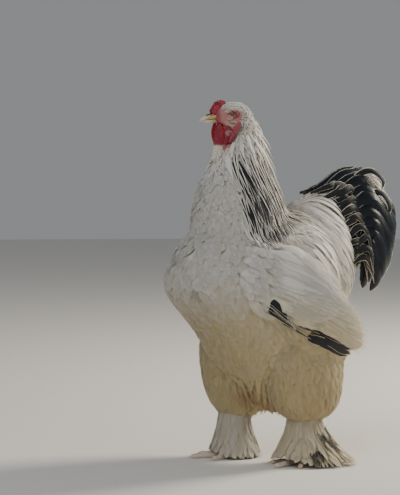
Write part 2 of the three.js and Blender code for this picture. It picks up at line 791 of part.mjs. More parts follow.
/** An eyeball, in the head's side. */
function eyeball(side) {
  return lump([side * EYE.out, 0, EYE.up], Array(3).fill(EYE.radius), 11, 8);
}

/** The skull with its cheeks and its ring of lids round each eye. */
function skull() {
  const pieces = SIDES.flatMap((side) => {
    const lid = new THREE.TorusGeometry(EYE.radius, 1.9, 4, 12);
    lid.scale(1, 0.72, 1).rotateY(Math.PI / 2).rotateZ(side * 0.16);
    return [
      lump([side * 12, -21, -13], [7, 12, 7], 8, 5),
      solid(lid.translate(side * (EYE.out + 4.4), 0, 0)),
    ];
  });
  return join(HEAD.solid(), ...pieces);
}

/** The corner of the mouth, a thin wedge behind the beak. */
function mouthCorner(side) {
  return lump([side * 17, -27, MOUTH_DEPTH], [5, 9, 0.7], 8, 6);
}

/** The head's parts as solids round its own origin, and the room that they need together. */
function headParts() {
  const eyes = SIDES.map(eyeball);
  const head = cut(skull(), ...eyes.map((eye) => grown(eye)), ...SIDES.map(mouthCorner));
  const parts = [{ name: "head", body: head, finish: FINISHES.whitePlumage }];
  eyes.forEach((body, i) =>
    parts.push({ name: `eye_${sideWord(SIDES[i])}`, body, finish: FINISHES.iris }),
  );
  let room = grown(join(skull(), ...eyes));
  const settle = (name, body, finish) => {
    parts.push({ name, body: cut(body, room), finish });
    room = room.add(grown(body));
  };
  settle("beak_upper", upperBeak(), FINISHES.horn);
  settle("beak_lower", lowerBeak(), FINISHES.horn);
  settle("comb", peaComb(), FINISHES.redSkin);
  for (const side of SIDES) settle(`wattle_${sideWord(side)}`, wattle(side), FINISHES.redSkin);
  for (const side of SIDES) settle(`ear_lobe_${sideWord(side)}`, earLobe(side), FINISHES.redSkin);
  return { parts, room };
}

const headMatrix = new THREE.Matrix4().makeRotationZ(HEAD_TURN).setPosition(HEAD_PLACE);

/** Moves a group so that the middle of its box's underside is the origin. */
function centred(group) {
  const box = new THREE.Box3().setFromObject(group, true);
  const middle = box.getCenter(new THREE.Vector3());
  group.position.set(-middle.x, -middle.y, -box.min.z);
  return group;
}

/** The whole bird, with each part cut clear of the ones that come before it. */
function bird() {
  const { parts, room: headRoom } = headParts();
  const group = new THREE.Group();
  const headGroup = new THREE.Group();
  headGroup.applyMatrix4(headMatrix);
  group.add(headGroup);
  for (const { name, body, finish } of parts) headGroup.add(part(name, body, finish));

  let room = headRoom.transform(headMatrix.elements);
  const settle = (name, pieces, finish, within = null) => {
    const whole = within ? join(...pieces).intersect(within) : join(...pieces);
    group.add(part(name, cut(whole, room), finish));
    room = join(room, ...pieces.map((piece) => grown(piece)));
  };
  settle("torso", [TRUNK.solid()], FINISHES.whitePlumage);
  settle("saddle", [SADDLE.solid(), ...SADDLE_TIERS.flatMap(saddleTier)], FINISHES.whitePlumage);
  for (const side of SIDES)
    settle(`thigh_${sideWord(side)}`, [thighForm(side).solid()], FINISHES.whitePlumage);
  for (const side of SIDES) {
    const vanes = WING_TIERS.flatMap((tier) => wingTier(side, tier));
    settle(`wing_${sideWord(side)}`, [wingShield(side), ...vanes], FINISHES.whitePlumage);
  }
  settle("neck", [NECK.solid(), ...HACKLE_TIERS.flatMap(hackleTier)], FINISHES.hackle);
  const tail = SIDES.flatMap((side) => [
    ...mainFeathers(side),
    ...SICKLES.map((spec) => sickle(side, spec)),
  ]);
  settle("tail", [TAIL_ROOT.solid(), ...tail], FINISHES.blackPlumage);
  for (const side of SIDES) {
    const word = sideWord(side);
    const floor = aboveFloor(ankle(side));
    settle(`shank_${word}`, [shankForm(side).solid(), ...shankFeathers(side)], FINISHES.whitePlumage);
    const toes = TOES.map((spec) => toe(side, spec));
    settle(`foot_${word}`, [...toes, ...footFeathers(side)], FINISHES.whitePlumage, floor);
    for (const spec of TOES) settle(`claw_${spec.name}_${word}`, [claw(side, spec)], FINISHES.horn);
  }
  return centred(group);
}

export default bird();
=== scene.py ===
"""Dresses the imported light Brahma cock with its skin, feathers, head, feet and a plain studio.

The forms are laid out in millimetres, as in the drawing of the solids, and Drawing carries them
into the frame, in metres. The bird faces -Y, its left side is at +X and the floor is z = 0.
"""

from __future__ import annotations

import logging
import math
from dataclasses import dataclass, field, replace
from enum import Enum
from typing import Callable, Iterable, Sequence

import bmesh
import bpy
import numpy as np
from mathutils import Matrix, Vector
from mathutils.bvhtree import BVHTree

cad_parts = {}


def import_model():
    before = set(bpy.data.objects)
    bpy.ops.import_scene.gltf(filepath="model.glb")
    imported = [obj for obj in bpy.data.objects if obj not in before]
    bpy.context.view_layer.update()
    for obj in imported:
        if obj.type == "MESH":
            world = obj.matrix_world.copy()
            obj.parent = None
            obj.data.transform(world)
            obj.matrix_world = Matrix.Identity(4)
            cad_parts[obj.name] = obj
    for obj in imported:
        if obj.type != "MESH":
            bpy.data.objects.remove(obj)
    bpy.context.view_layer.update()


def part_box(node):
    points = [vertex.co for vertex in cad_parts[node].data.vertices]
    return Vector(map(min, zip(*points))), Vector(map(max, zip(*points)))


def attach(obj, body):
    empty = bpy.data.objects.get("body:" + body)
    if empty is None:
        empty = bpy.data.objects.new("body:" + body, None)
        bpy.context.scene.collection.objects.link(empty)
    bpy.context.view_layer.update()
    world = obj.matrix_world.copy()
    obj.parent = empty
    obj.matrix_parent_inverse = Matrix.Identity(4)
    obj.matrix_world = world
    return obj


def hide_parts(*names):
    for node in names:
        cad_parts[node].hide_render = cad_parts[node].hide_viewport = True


LOG = logging.getLogger("brahma")
MM = 0.001
ROOT = "root"
BAKE_MAP = "OFBake"
BAKE_PATCH = 0.003  # how wide one feather's patch is on the baking map
VANE_MAP = "vane"
NEAR_POLE = 1e-4
Array = np.ndarray
Flow = Callable[[Array], Array]
Share = Callable[[Array], Array]
Wanted = Callable[[Array, Array], Array]


class Side(Enum):
    """A side of the bird, as the sign of X."""

    LEFT = 1
    RIGHT = -1

    @property
    def word(self) -> str:
        """The side's word in names."""
        return self.name.lower()


def smooth(value: Array | float, low: float, high: float) -> Array:
    """A smooth step from 0 at low to 1 at high, where low may be the greater of the two."""
    share = np.clip((np.asarray(value, float) - low) / (high - low), 0.0, 1.0)
    return share * share * (3.0 - 2.0 * share)


def unit(vectors: Array) -> Array:
    """Vectors at length one."""
    return vectors / np.maximum(np.linalg.norm(vectors, axis=-1, keepdims=True), 1e-9)


def mixed(first: Array | float, second: Array | float, share: Array | float) -> Array:
    """The value at a share of the way from first to second."""
    return np.asarray(first) * (1.0 - np.asarray(share)) + np.asarray(second) * np.asarray(share)


def xyz(x: Array | float, y: Array | float, z: Array | float) -> Array:
    """Places from their three parts."""
    return np.stack(np.broadcast_arrays(x, y, z), axis=-1)


def ball(bm: bmesh.types.BMesh, sides: int, rings: int) -> list[bmesh.types.BMVert]:
    """Adds a ball of radius 1 and returns its vertices."""
    return bmesh.ops.create_uvsphere(bm, u_segments=sides, v_segments=rings, radius=1.0)["verts"]


def rounds(points: Array) -> tuple[Array, Array, Array]:
    """Where a ball's points are: their share from pole to pole, their angle round it, and which are poles."""
    x, y, z = points.T
    return np.arccos(np.clip(-z, -1, 1)) / math.pi, np.arctan2(y, x), np.hypot(x, y) < NEAR_POLE


def outward(bm: bmesh.types.BMesh) -> None:
    """Turns the faces of closed shells outwards."""
    bm.normal_update()
    bmesh.ops.recalc_face_normals(bm, faces=bm.faces)


def mesh_of(name: str, bm: bmesh.types.BMesh) -> bpy.types.Mesh:
    """The mesh of a bmesh, which is freed."""
    mesh = bpy.data.meshes.new(name)
    bm.to_mesh(mesh)
    bm.free()
    return mesh


def linked(name: str, data: bpy.types.ID) -> bpy.types.Object:
    """A new object in the scene."""
    made = bpy.data.objects.new(name, data)
    bpy.context.scene.collection.objects.link(made)
    return made


def voxels(holder: bpy.types.Object, size: float) -> bpy.types.Modifier:
    """Gives an object a remesh into faces of a size."""
    modifier = holder.modifiers.new("remesh", "REMESH")
    modifier.mode = "VOXEL"
    modifier.voxel_size = size
    return modifier


class Curve:
    """A smooth curve through points, read by its share from 0 to 1."""

    def __init__(self, points: Sequence[Sequence[float]]) -> None:
        """Keeps the points, in order, and the slope at each."""
        self.points = np.asarray(points, float)
        self.slopes = np.gradient(self.points, axis=0)

    def at(self, share: Array | float) -> Array:
        """The curve's points at shares of its length from 0 to 1."""
        place = np.clip(np.asarray(share, float), 0.0, 1.0) * (len(self.points) - 1)
        index = np.minimum(place.astype(int), len(self.points) - 2)
        t = (place - index)[..., None]
        first, second = self.points[index], self.points[index + 1]
        leave, arrive = self.slopes[index], self.slopes[index + 1]
        ends = first * (2 * t**3 - 3 * t**2 + 1) + second * (3 * t**2 - 2 * t**3)
        return ends + leave * (t**3 - 2 * t**2 + t) + arrive * (t**3 - t**2)


class Form:
    """A rounded form stacked from egg-shaped slices."""

    TABLE = 240
    LEAST = 3.0  # how thin a shrunk form may be

    def __init__(self, slices: Sequence[Sequence[float]], squareness: float = 2.2) -> None:
        """Keeps the slices as a curve.

        Args:
            slices: from the lowest to the highest. Each is its height, its half width, its reach to
                -Y and to +Y, and its middle's y and x, which are 0 where they are left out.
            squareness: 2 for round slices, and more for squarer ones.
        """
        self.slices = np.array([(*row, 0.0, 0.0)[:6] for row in slices], float)
        self.squareness = squareness
        self.curve = Curve(self.slices[:, [5, 4, 0, 1, 2, 3]])
        self.shares = np.linspace(0.0, 1.0, self.TABLE)
        self.heights = np.maximum.accumulate(self.curve.at(self.shares)[:, 2])

    def shrunk(self, depth: float) -> Form:
        """The form that lies inside this one by a depth."""
        rows = self.slices.copy()
        low, high = rows[0, 0], rows[-1, 0]
        middle = (low + high) / 2
        rows[:, 0] = middle + (rows[:, 0] - middle) * (1.0 - 2.0 * depth / (high - low))
        rows[:, 1:4] = np.maximum(self.LEAST, rows[:, 1:4] - depth)
        return Form(rows, self.squareness)

    def moved(self, x: float, y: float) -> Form:
        """The same form at another place."""
        return Form(self.slices + (0, 0, 0, 0, y, x), self.squareness)

    def around(self, rows: Array, angle: Array) -> Array:
        """The surface points of slices (x, y, z, half, front, back) at angles from +X towards +Y."""
        across, along = np.cos(angle), np.sin(angle)
        power = self.squareness
        fit = (np.abs(across) ** power + np.abs(along) ** power) ** (-1.0 / power)
        x, y, z, half, front, back = np.moveaxis(rows, -1, 0)
        return xyz(x + across * fit * half, y + along * fit * np.where(along < 0, front, back), z)

    def rows_at(self, z: Array) -> Array:
        """The slices at heights."""
        return self.curve.at(np.interp(z, self.heights, self.shares))

    def distance(self, points: Array) -> Array:
        """About how far points are from the form, below 0 inside it."""
        z = points[..., 2]
        rows = self.rows_at(z)
        x, y = points[..., 0] - rows[..., 0], points[..., 1] - rows[..., 1]
        deep = np.maximum(np.where(y < 0, rows[..., 4], rows[..., 5]), 1.0)
        power = self.squareness
        half = np.maximum(rows[..., 3], 1.0)
        level = (np.abs(x / half) ** power + np.abs(y / deep) ** power) ** (1 / power)
        radial = np.hypot(x, y) * (1.0 - 1.0 / np.maximum(level, 0.05))
        beyond = np.maximum(z - self.heights[-1], 0) + np.maximum(self.heights[0] - z, 0)
        return np.where(beyond > 0, np.hypot(np.maximum(radial, 0), beyond), radial)

    def build(self, bm: bmesh.types.BMesh, sides: int, rings: int) -> None:
        """Adds the closed form to a mesh."""
        made = ball(bm, sides, rings)
        share, angle, poles = rounds(np.array([v.co for v in made]))
        points = self.around(self.curve.at(share), angle)
        points[poles] = self.curve.at(np.round(share[poles]))[:, :3]
        place_vertices(made, lambda _: points)


def place_vertices(vertices: Iterable[bmesh.types.BMVert], move: Callable[[Array], Array]) -> None:
    """Moves vertices through a function that takes all their places and returns the new ones."""
    found = list(vertices)
    for vertex, point in zip(found, move(np.array([v.co for v in found]))):
        vertex.co = point


def turned(points: Array, angle: float) -> Array:
    """Points turned about +Z."""
    c, s = math.cos(angle), math.sin(angle)
    return points @ np.array(((c, s, 0), (-s, c, 0), (0, 0, 1)))


class Drawing:
    """Carries places of the drawing, in millimetres, into the frame, in metres."""

    EYE = np.array((14.68, -101.93, 667.0))  # the middle of the left eye in the drawing

    def __init__(self) -> None:
        """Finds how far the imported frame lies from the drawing, by the left eye."""
        low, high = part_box("eye_left")
        self.shift = np.array((low + high) / 2) / MM - self.EYE

    def place(self, points: Array) -> Array:
        """Drawing places as frame places."""
        return (points + self.shift) * MM


def add_piece(
    drawing: Drawing, name: str, bm: bmesh.types.BMesh, finish: Finish, *nodes: str, **dyes: Array
) -> None:
    """Makes a smooth piece at the origin, and dresses it.

    Args:
        drawing: carries the places into the frame.
        name: of the piece.
        bm: its mesh in the drawing's millimetres, which is freed.
        finish: of its surface.
        *nodes: the nodes of the solids that it replaces.
        **dyes: the numbers that the finish reads.
    """
    place_vertices(bm.verts, drawing.place)
    for face in bm.faces:
        face.smooth = True
    piece = linked(name, mesh_of(name, bm))
    dye(piece, **dyes)
    wear(piece, finish)
    if nodes:
        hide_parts(*nodes)


def remeshed(bm: bmesh.types.BMesh, voxel: float, smoothing: int) -> bmesh.types.BMesh:
    """The closed shells of a mesh, which is freed, as one skin.

    Args:
        bm: the overlapping shells.
        voxel: the size of the new faces.
        smoothing: how many times the result is smoothed.

    Returns:
        The new mesh.
    """
    mesh = mesh_of("remesh", bm)
    holder = linked("remesh", mesh)
    voxels(holder, voxel)
    result = bmesh.new()
    result.from_mesh(holder.evaluated_get(bpy.context.evaluated_depsgraph_get()).to_mesh())
    bpy.data.objects.remove(holder)
    bpy.data.meshes.remove(mesh)
    for _ in range(smoothing):
        bmesh.ops.smooth_vert(
            result, verts=result.verts, factor=0.5, use_axis_x=True, use_axis_y=True, use_axis_z=True
        )
    bmesh.ops.recalc_face_normals(result, faces=result.faces)
    return result


class Value:
    """A number in a material's nodes, with arithmetic that adds Math nodes."""

    def __init__(self, shader: Shader, socket: bpy.types.NodeSocket) -> None:
        """Wraps a socket of a shader."""
        self.shader = shader
        self.socket = socket

    def __add__(self, other: Value | float) -> Value:
        """The sum."""
        return self.shader.math("ADD", self, other)

    def __sub__(self, other: Value | float) -> Value:
        """The difference."""
        return self.shader.math("SUBTRACT", self, other)

    def __rsub__(self, other: float) -> Value:
        """The difference from a number."""
        return self.shader.math("SUBTRACT", other, self)

    def __mul__(self, other: Value | float) -> Value:
        """The product."""
        return self.shader.math("MULTIPLY", self, other)

    __radd__ = __add__
    __rmul__ = __mul__

    def step(self, low: float | Value, high: float | Value) -> Value:
        """A smooth step of this value from 0 at low to 1 at high."""
        made = self.shader.node(
            "ShaderNodeMapRange",
            {"interpolation_type": "SMOOTHSTEP"},
            **{"Value": self, "From Min": low, "From Max": high},
        )
        return Value(self.shader, made.outputs["Result"])


Input = Value | bpy.types.NodeSocket | float | Sequence[float]


class Shader:
    """A material under construction."""

    def __init__(self, name: str) -> None:
        """Starts an empty node material."""
        self.material = bpy.data.materials.new(name)
        self.material.use_nodes = True
        self.tree = self.material.node_tree
        self.tree.nodes.clear()

    def node(self, kind: str, settings: dict | None = None, **values: Input) -> bpy.types.Node:
        """Adds a node.

        Args:
            kind: the node's type.
            settings: properties of the node, which are set first.
            **values: the numbers, colours or links of its sockets, by name.

        Returns:
            The node.
        """
        made = self.tree.nodes.new(kind)
        for key, value in (settings or {}).items():
            setattr(made, key, value)
        for key, value in values.items():
            open_sockets = [s for s in made.inputs if s.name == key and s.enabled]
            self.feed(open_sockets[0], value)
        return made

    def feed(self, socket: bpy.types.NodeSocket, value: Input) -> None:
        """Gives a socket a number, a colour or a link."""
        if isinstance(value, Value):
            value = value.socket
        if isinstance(value, bpy.types.NodeSocket):
            self.tree.links.new(value, socket)
        elif socket.type == "RGBA" and len(value) == 3:
            socket.default_value = (*value, 1.0)
        else:
            socket.default_value = value

    def math(self, operation: str, *values: Value | float) -> Value:
        """A Math node's result."""
        made = self.tree.nodes.new("ShaderNodeMath")
        made.operation = operation
        for socket, value in zip(made.inputs, values):
            self.feed(socket, value)
        return Value(self, made.outputs[0])

    def mix(self, share: Value | float, first: Input, second: Input) -> bpy.types.NodeSocket:
        """The colour at a share of the way from first to second."""
        made = self.node("ShaderNodeMix", {"data_type": "RGBA"}, Factor=share, A=first, B=second)
        return next(s for s in made.outputs if s.enabled)

    def layers(self, base: Input, *layers: tuple[Value | float, Input]) -> Input:
        """A colour under others, each laid over it by its share."""
        for share, colour in layers:
            base = self.mix(share, base, colour)
        return base

    def cells(self, scale: float) -> Value:
        """How far a place is from the middle of its cell, with so many cells a metre."""
        made = self.node("ShaderNodeTexVoronoi", Vector=self.place(), Scale=scale)
        return Value(self, made.outputs["Distance"])

    def attribute(self, name: str) -> Value:
        """A number that the mesh holds by name."""
        made = self.node("ShaderNodeAttribute", {"attribute_name": name})
        return Value(self, made.outputs["Fac"])

    def place(self) -> bpy.types.NodeSocket:
        """The place in the frame, in metres."""
        return self.node("ShaderNodeTexCoord").outputs["Object"]

    def vane(self) -> tuple[Value, Value]:
        """The place on a feather: from edge to edge (-1 to 1), and from root to tip (0 to 1)."""
        uv = self.node("ShaderNodeUVMap", {"uv_map": VANE_MAP}).outputs["UV"]
        parts = self.node("ShaderNodeSeparateXYZ", Vector=uv).outputs
        return Value(self, parts["X"]) * 2.0 - 1.0, Value(self, parts["Y"])

    def noise(self, scale: float, detail: float = 2.0, at: bpy.types.NodeSocket | None = None) -> Value:
        """A noise from 0 to 1 with a scale in features a metre."""
        made = self.node("ShaderNodeTexNoise", Vector=at or self.place(), Scale=scale, Detail=detail)
        return Value(self, made.outputs["Fac"])

    def bump(self, height: Value, strength: float, distance: float) -> bpy.types.NodeSocket:
        """A normal that follows a height."""
        made = self.node("ShaderNodeBump", Height=height, Strength=strength, Distance=distance)
        return made.outputs["Normal"]

    def finish(self, **values: Input) -> bpy.types.Material:
        """Ends the material with a Principled surface that has these values."""
        names = {key.replace("_", " "): value for key, value in values.items()}
        surface = self.node("ShaderNodeBsdfPrincipled", **names)
        output = self.node("ShaderNodeOutputMaterial")
        self.tree.links.new(surface.outputs["BSDF"], output.inputs["Surface"])
        return self.material


Colour = tuple[float, float, float]
DYES = ("ink", "lace", "warm", "shade", "bare")


@dataclass(frozen=True)
class Plumage:
    """The finish of feathers: pale or dark, each dyed by the numbers that its mesh holds."""

    name: str
    slot: str
    pale: Colour = (0.80, 0.775, 0.72)
    # The cream and buff that the warm dye lays on are partly the coat's own tint and partly painted shade low
    # on the body.
    cream: Colour = (0.66, 0.53, 0.27)
    buff: Colour = (0.50, 0.32, 0.15)
    blush: Colour = (0.56, 0.31, 0.28)
    dark: Colour = (0.012, 0.014, 0.017)
    fluff: Colour = (0.36, 0.34, 0.32)
    roughness: float = 0.75
    gloss: float = 0.35
    sheen: float = 0.25
    sheen_tint: Colour = (1.0, 1.0, 1.0)
    coat: float = 0.0
    barbs: float = 46.0
    relief: float = 0.35
    glow: float = 0.0  # how much light passes through the pale vanes

    def material(self) -> bpy.types.Material:
        """The finish as a material."""
        shader = Shader(self.name)
        across, along = shader.vane()
        off = shader.math("ABSOLUTE", across)
        ink, lace, warm, shade, bare = (shader.attribute(dye) for dye in DYES)
        edge = (1.0 - lace) * (1.0 - along.step(0.80, 1.02) * lace.step(0.0, 0.1))
        wander = (shader.noise(260.0) - 0.5) * 0.16
        shaft = off.step(0.10, 0.0) * along.step(1.0, 0.4)
        clouds = shader.noise(45.0, 3.0).step(0.35, 0.75)
        colour = shader.layers(
            self.pale,
            (warm.step(0.0, 1.0), self.cream),
            (warm.step(1.0, 2.0), self.buff),
            (bare, self.blush),
            (along.step(0.30, 0.0) * 0.08, self.fluff),
            (clouds * 0.16, self.cream),
            (shade * 0.14, self.fluff),
            (shaft * 0.16, self.fluff),
            (ink * (off + wander).step(edge + 0.09, edge - 0.09), self.dark),
        )
        ripple = shader.math("SINE", (along * self.barbs + off * (self.barbs * 0.22)) * (2 * math.pi))
        return shader.finish(
            Base_Color=colour,
            Roughness=shader.noise(140.0) * 0.12 + (self.roughness - 0.06),
            Normal=shader.bump(ripple * 0.5 + shaft * 2.0, self.relief, 0.0003),
            Specular_IOR_Level=self.gloss,
            Sheen_Weight=self.sheen,
            Sheen_Roughness=0.4,
            Sheen_Tint=self.sheen_tint,
            Coat_Weight=self.coat,
            Coat_Roughness=0.25,
            Subsurface_Weight=self.glow,
            Subsurface_Radius=(1.0, 0.85, 0.65),
            Subsurface_Scale=0.004,
        )


@dataclass(frozen=True)
class BirdSkin:
    """The finish of the skin: pale under the coat, with the coat's markings, and red where bare."""

    name: str = "bird_skin"
    slot: str = "red_skin"
    pale: Colour = (0.66, 0.62, 0.55)
    cream: Colour = (0.58, 0.48, 0.31)
    dark: Colour = (0.02, 0.022, 0.026)
    pink: Colour = (0.45, 0.20, 0.185)
    red: Colour = (0.34, 0.035, 0.060)
    deep: Colour = (0.18, 0.014, 0.032)

    def material(self) -> bpy.types.Material:
        """The finish as a material."""
        shader = Shader(self.name)
        ink, _, warm, _, bare = (shader.attribute(dye) for dye in DYES)
        pebble = shader.cells(900.0)
        flush = (shader.noise(160.0, 4.0).step(0.35, 0.7), self.deep)
        red = shader.layers(self.red, flush, (pebble.step(0.45, 0.9) * 0.5, self.deep))
        colour = shader.layers(
            self.pale, (warm.step(0.0, 1.0), self.cream), (ink, self.dark), (bare.step(0.0, 0.5), self.pink),
            (bare.step(0.5, 0.95), red),
        )
        return shader.finish(
            Base_Color=colour,
            Roughness=0.62 - bare * 0.16,
            Normal=shader.bump((1.0 - pebble) * bare + shader.noise(1400.0) * 0.3, 0.6, 0.0004),
            Subsurface_Weight=0.12,
            Subsurface_Radius=(1.0, 0.25, 0.15),
            Subsurface_Scale=0.003,
            Specular_IOR_Level=0.4,
        )


@dataclass(frozen=True)
class Caruncle:
    """The finish of the comb, wattles and lobes: pebbled, blood-filled red skin."""

    name: str
    slot: str = "red_skin"
    red: Colour = (0.40, 0.026, 0.055)
    deep: Colour = (0.21, 0.010, 0.030)
    grain: float = 850.0
    glow: float = 0.3

    def material(self) -> bpy.types.Material:
        """The finish as a material."""
        shader = Shader(self.name)
        pebble, broad_tone = shader.cells(self.grain), shader.noise(110.0, 3.0)
        tones = ((broad_tone.step(0.38, 0.66), self.deep), (pebble.step(0.5, 0.95) * 0.55, self.deep))
        return shader.finish(
            Base_Color=shader.layers(self.red, *tones),
            Roughness=0.34 + broad_tone * 0.16,
            Normal=shader.bump((1.0 - pebble) + shader.noise(2200.0) * 0.25, 0.55, 0.0005),
            Subsurface_Weight=self.glow,
            Subsurface_Radius=(1.0, 0.18, 0.12),
            Subsurface_Scale=0.004,
            Specular_IOR_Level=0.5,
        )


@dataclass(frozen=True)
class Horn:
    """The finish of beak and claws: layered horn with a dark ridge."""

    name: str
    slot: str = "horn"
    light: Colour = (0.56, 0.42, 0.20)
    pale: Colour = (0.72, 0.62, 0.42)
    dark: Colour = (0.03, 0.022, 0.018)
    grain: tuple[float, float, float] = (900.0, 120.0, 900.0)

    def material(self) -> bpy.types.Material:
        """The finish as a material."""
        shader = Shader(self.name)
        stretched = shader.node("ShaderNodeMapping", Vector=shader.place(), Scale=self.grain)
        streak = shader.noise(1.0, 3.0, stretched.outputs["Vector"])
        ink, warm = shader.attribute("ink"), shader.attribute("warm")
        colour = shader.layers(
            self.light, (warm.step(0.0, 1.0), self.pale), (streak.step(0.5, 0.8) * 0.3, self.dark),
            ((ink + (streak - 0.5) * 0.5).step(0.35, 0.65), self.dark),
        )
        return shader.finish(
            Base_Color=colour,
            Roughness=streak * 0.2 + 0.24,
            Normal=shader.bump(streak, 0.25, 0.0003),
            Coat_Weight=0.25,
            Coat_Roughness=0.2,
            Subsurface_Weight=0.08,
            Subsurface_Scale=0.002,
        )


@dataclass(frozen=True)
class Scutes:
    """The finish of the toes: pale, pinkish yellow plates with dusty joints."""

    name: str = "toe_scutes"
    slot: str = "horn"
    light: Colour = (0.72, 0.62, 0.53)
    joint: Colour = (0.50, 0.38, 0.31)

    def material(self) -> bpy.types.Material:
        """The finish as a material."""
        shader = Shader(self.name)
        dust = (shader.noise(180.0, 4.0).step(0.45, 0.8) * 0.4, self.joint)
        return shader.finish(
            Base_Color=shader.layers(self.light, (shader.attribute("ink"), self.joint), dust),
            Roughness=shader.noise(300.0) * 0.15 + 0.42,
            Normal=shader.bump(shader.cells(520.0).step(0.9, 0.2), 0.35, 0.0004),
            Subsurface_Weight=0.1,
            Subsurface_Scale=0.002,
        )


@dataclass(frozen=True)
class EyeFinish:
    """The finish of an eyeball: a dark pupil in an orange iris, under a wet film."""

    name: str = "eye_iris"
    slot: str = "iris"
    pupil: Colour = (0.004, 0.003, 0.003)
    inner: Colour = (0.24, 0.045, 0.018)
    outer: Colour = (0.13, 0.018, 0.012)
    rim: Colour = (0.02, 0.008, 0.006)

    def material(self) -> bpy.types.Material:
        """The finish as a material. The mesh holds the distance from the pupil's middle."""
        shader = Shader(self.name)
        out = shader.attribute("shade")
        iris = (out + (shader.noise(1500.0, 2.0) - 0.5) * 0.25).step(0.40, 0.72)
        rings = ((iris, self.outer), (out.step(0.80, 0.95), self.rim), (out.step(0.37, 0.33), self.pupil))
        colour = shader.layers(self.inner, *rings)
        return shader.finish(Base_Color=colour, Roughness=0.08, Coat_Weight=1.0, Coat_Roughness=0.02)


@dataclass(frozen=True)
class Paper:
    """The finish of the studio's pale floor."""

    name: str = "studio_floor"
    tone: Colour = (0.78, 0.77, 0.75)

    def material(self) -> bpy.types.Material:
        """The finish as a material."""
        shader = Shader(self.name)
        return shader.finish(Base_Color=self.tone, Roughness=0.85, Specular_IOR_Level=0.1)


WHITE = Plumage("white_feathers", "white_plumage", glow=0.45)
STRIPED = Plumage("striped_feathers", "hackle", roughness=0.6, gloss=0.3, sheen=0.05, relief=0.3)
BLACK = Plumage(
    "tail_feathers",
    "black_plumage",
    dark=(0.0022, 0.0065, 0.0115),
    roughness=0.33,
    gloss=0.22,
    sheen=0.03,
    sheen_tint=(0.25, 0.65, 0.75),
    coat=0.2,
    barbs=110.0,
    relief=0.3,
)


Finish = Plumage | BirdSkin | Caruncle | Horn | Scutes | EyeFinish


def wear(made: bpy.types.Object, finish: Finish) -> None:
    """Gives a piece its finish, and lets it ride on the bird."""
    known = bpy.data.materials.get(finish.name)
    made.data.materials.append(known or finish.material())
    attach(made, ROOT)
    LOG.info("%s: %d faces", made.name, len(made.data.polygons))


def dye(made: bpy.types.Object, **amounts: Array) -> None:
    """Stores numbers for each vertex under names that the finish reads."""
    for name, amount in amounts.items():
        layer = made.data.attributes.new(name, "FLOAT", "POINT")
        layer.data.foreach_set("value", np.ascontiguousarray(amount, np.float32))


@dataclass(frozen=True)
class Template:
    """The pattern of one feather: a closed lens with a flat underside, as arrays."""

    across: Array
    along: Array
    edges: Array
    sharp: Array
    loops: Array
    loop_edges: Array
    starts: Array

    @staticmethod
    def cut(rows: int, columns: int, tip_packing: float = 1.5) -> Template:
        """Makes the pattern from a grid whose long edges are bridged underneath.

        Args:
            rows: how many faces it has from root to tip.
            columns: how many it has from edge to edge.
            tip_packing: above 1, the rows are closer together towards the tip.

        Returns:
            The pattern.
        """
        bm = bmesh.new()
        bmesh.ops.create_grid(bm, x_segments=columns, y_segments=rows, size=1.0)
        sides = [e for e in bm.edges if e.is_boundary and abs(e.verts[0].co.x - e.verts[1].co.x) < 1e-6]
        bmesh.ops.bridge_loops(bm, edges=sides)
        bmesh.ops.holes_fill(bm, edges=[e for e in bm.edges if e.is_boundary], sides=0)
        bmesh.ops.recalc_face_normals(bm, faces=bm.faces)
        mesh = bpy.data.meshes.new("vane")
        bm.to_mesh(mesh)
        bm.free()
        places = np.array([v.co for v in mesh.vertices], np.float32)
        edges = np.array([e.vertices[:] for e in mesh.edges])
        border = np.abs(places[:, :2]) > 0.999
        sharp = border[edges].all(axis=1).any(axis=1)
        loops = np.array([(k.vertex_index, k.edge_index) for k in mesh.loops])
        starts = np.array([p.loop_start for p in mesh.polygons])
        across = places[:, 0] if mesh.polygons[0].normal.z > 0 else -places[:, 0]
        bpy.data.meshes.remove(mesh)
        along = 1.0 - (1.0 - (places[:, 1] + 1.0) / 2.0) ** tip_packing
        return Template(across, along, edges, sharp, loops[:, 0], loops[:, 1], starts)


def pointed(t: Array) -> Array:
    """The share of the full width of a lance-shaped feather."""
    end = smooth(t, 0.42, 1.0)
    return (0.42 + 0.58 * smooth(t, 0.0, 0.38)) * np.sqrt(np.maximum(1.0 - end**1.15, 0.0025))


def rounded(t: Array) -> Array:
    """The share of the full width of a feather with a round end."""
    end = np.clip((t - 0.62) / 0.38, 0.0, 1.0)
    return (0.40 + 0.60 * smooth(t, 0.0, 0.42)) * np.sqrt(np.maximum(1.0 - end**2.2, 0.006))


def broad(t: Array) -> Array:
    """The share of the full width of a long, parallel-sided feather with a blunt end."""
    end = np.clip((t - 0.80) / 0.20, 0.0, 1.0)
    return (0.30 + 0.70 * smooth(t, 0.0, 0.28)) * np.sqrt(np.maximum(1.0 - end**2.0, 0.004))


def wispy(t: Array) -> Array:
    """The share of the full width of a loose, tapering lock."""
    return (0.35 + 0.65 * smooth(t, 0.0, 0.3)) * (1.0 - 0.93 * smooth(t, 0.25, 1.0))


def scythe(t: Array) -> Array:
    """The share of the full width of a curved tail feather."""
    end = np.clip((t - 0.55) / 0.45, 0.0, 1.0)
    return (0.34 + 0.66 * smooth(t, 0.0, 0.35)) * np.sqrt(np.maximum(1.0 - end**2.4, 0.004))


def read(grid: Array, t: Array) -> Array:
    """Values that feathers hold at even steps, at shares of their length.

    Args:
        grid: the values, as feathers x steps x 3.
        t: the shares, as feathers (or 1) x any shape.

    Returns:
        The values at each share.
    """
    place = np.clip(t, 0, 1) * (grid.shape[1] - 1)
    low = np.minimum(place.astype(int), grid.shape[1] - 2)
    feather = np.arange(len(grid)).reshape(-1, *[1] * (t.ndim - 1))
    share = (place - low)[..., None]
    return grid[feather, low] * (1 - share) + grid[feather, low + 1] * share


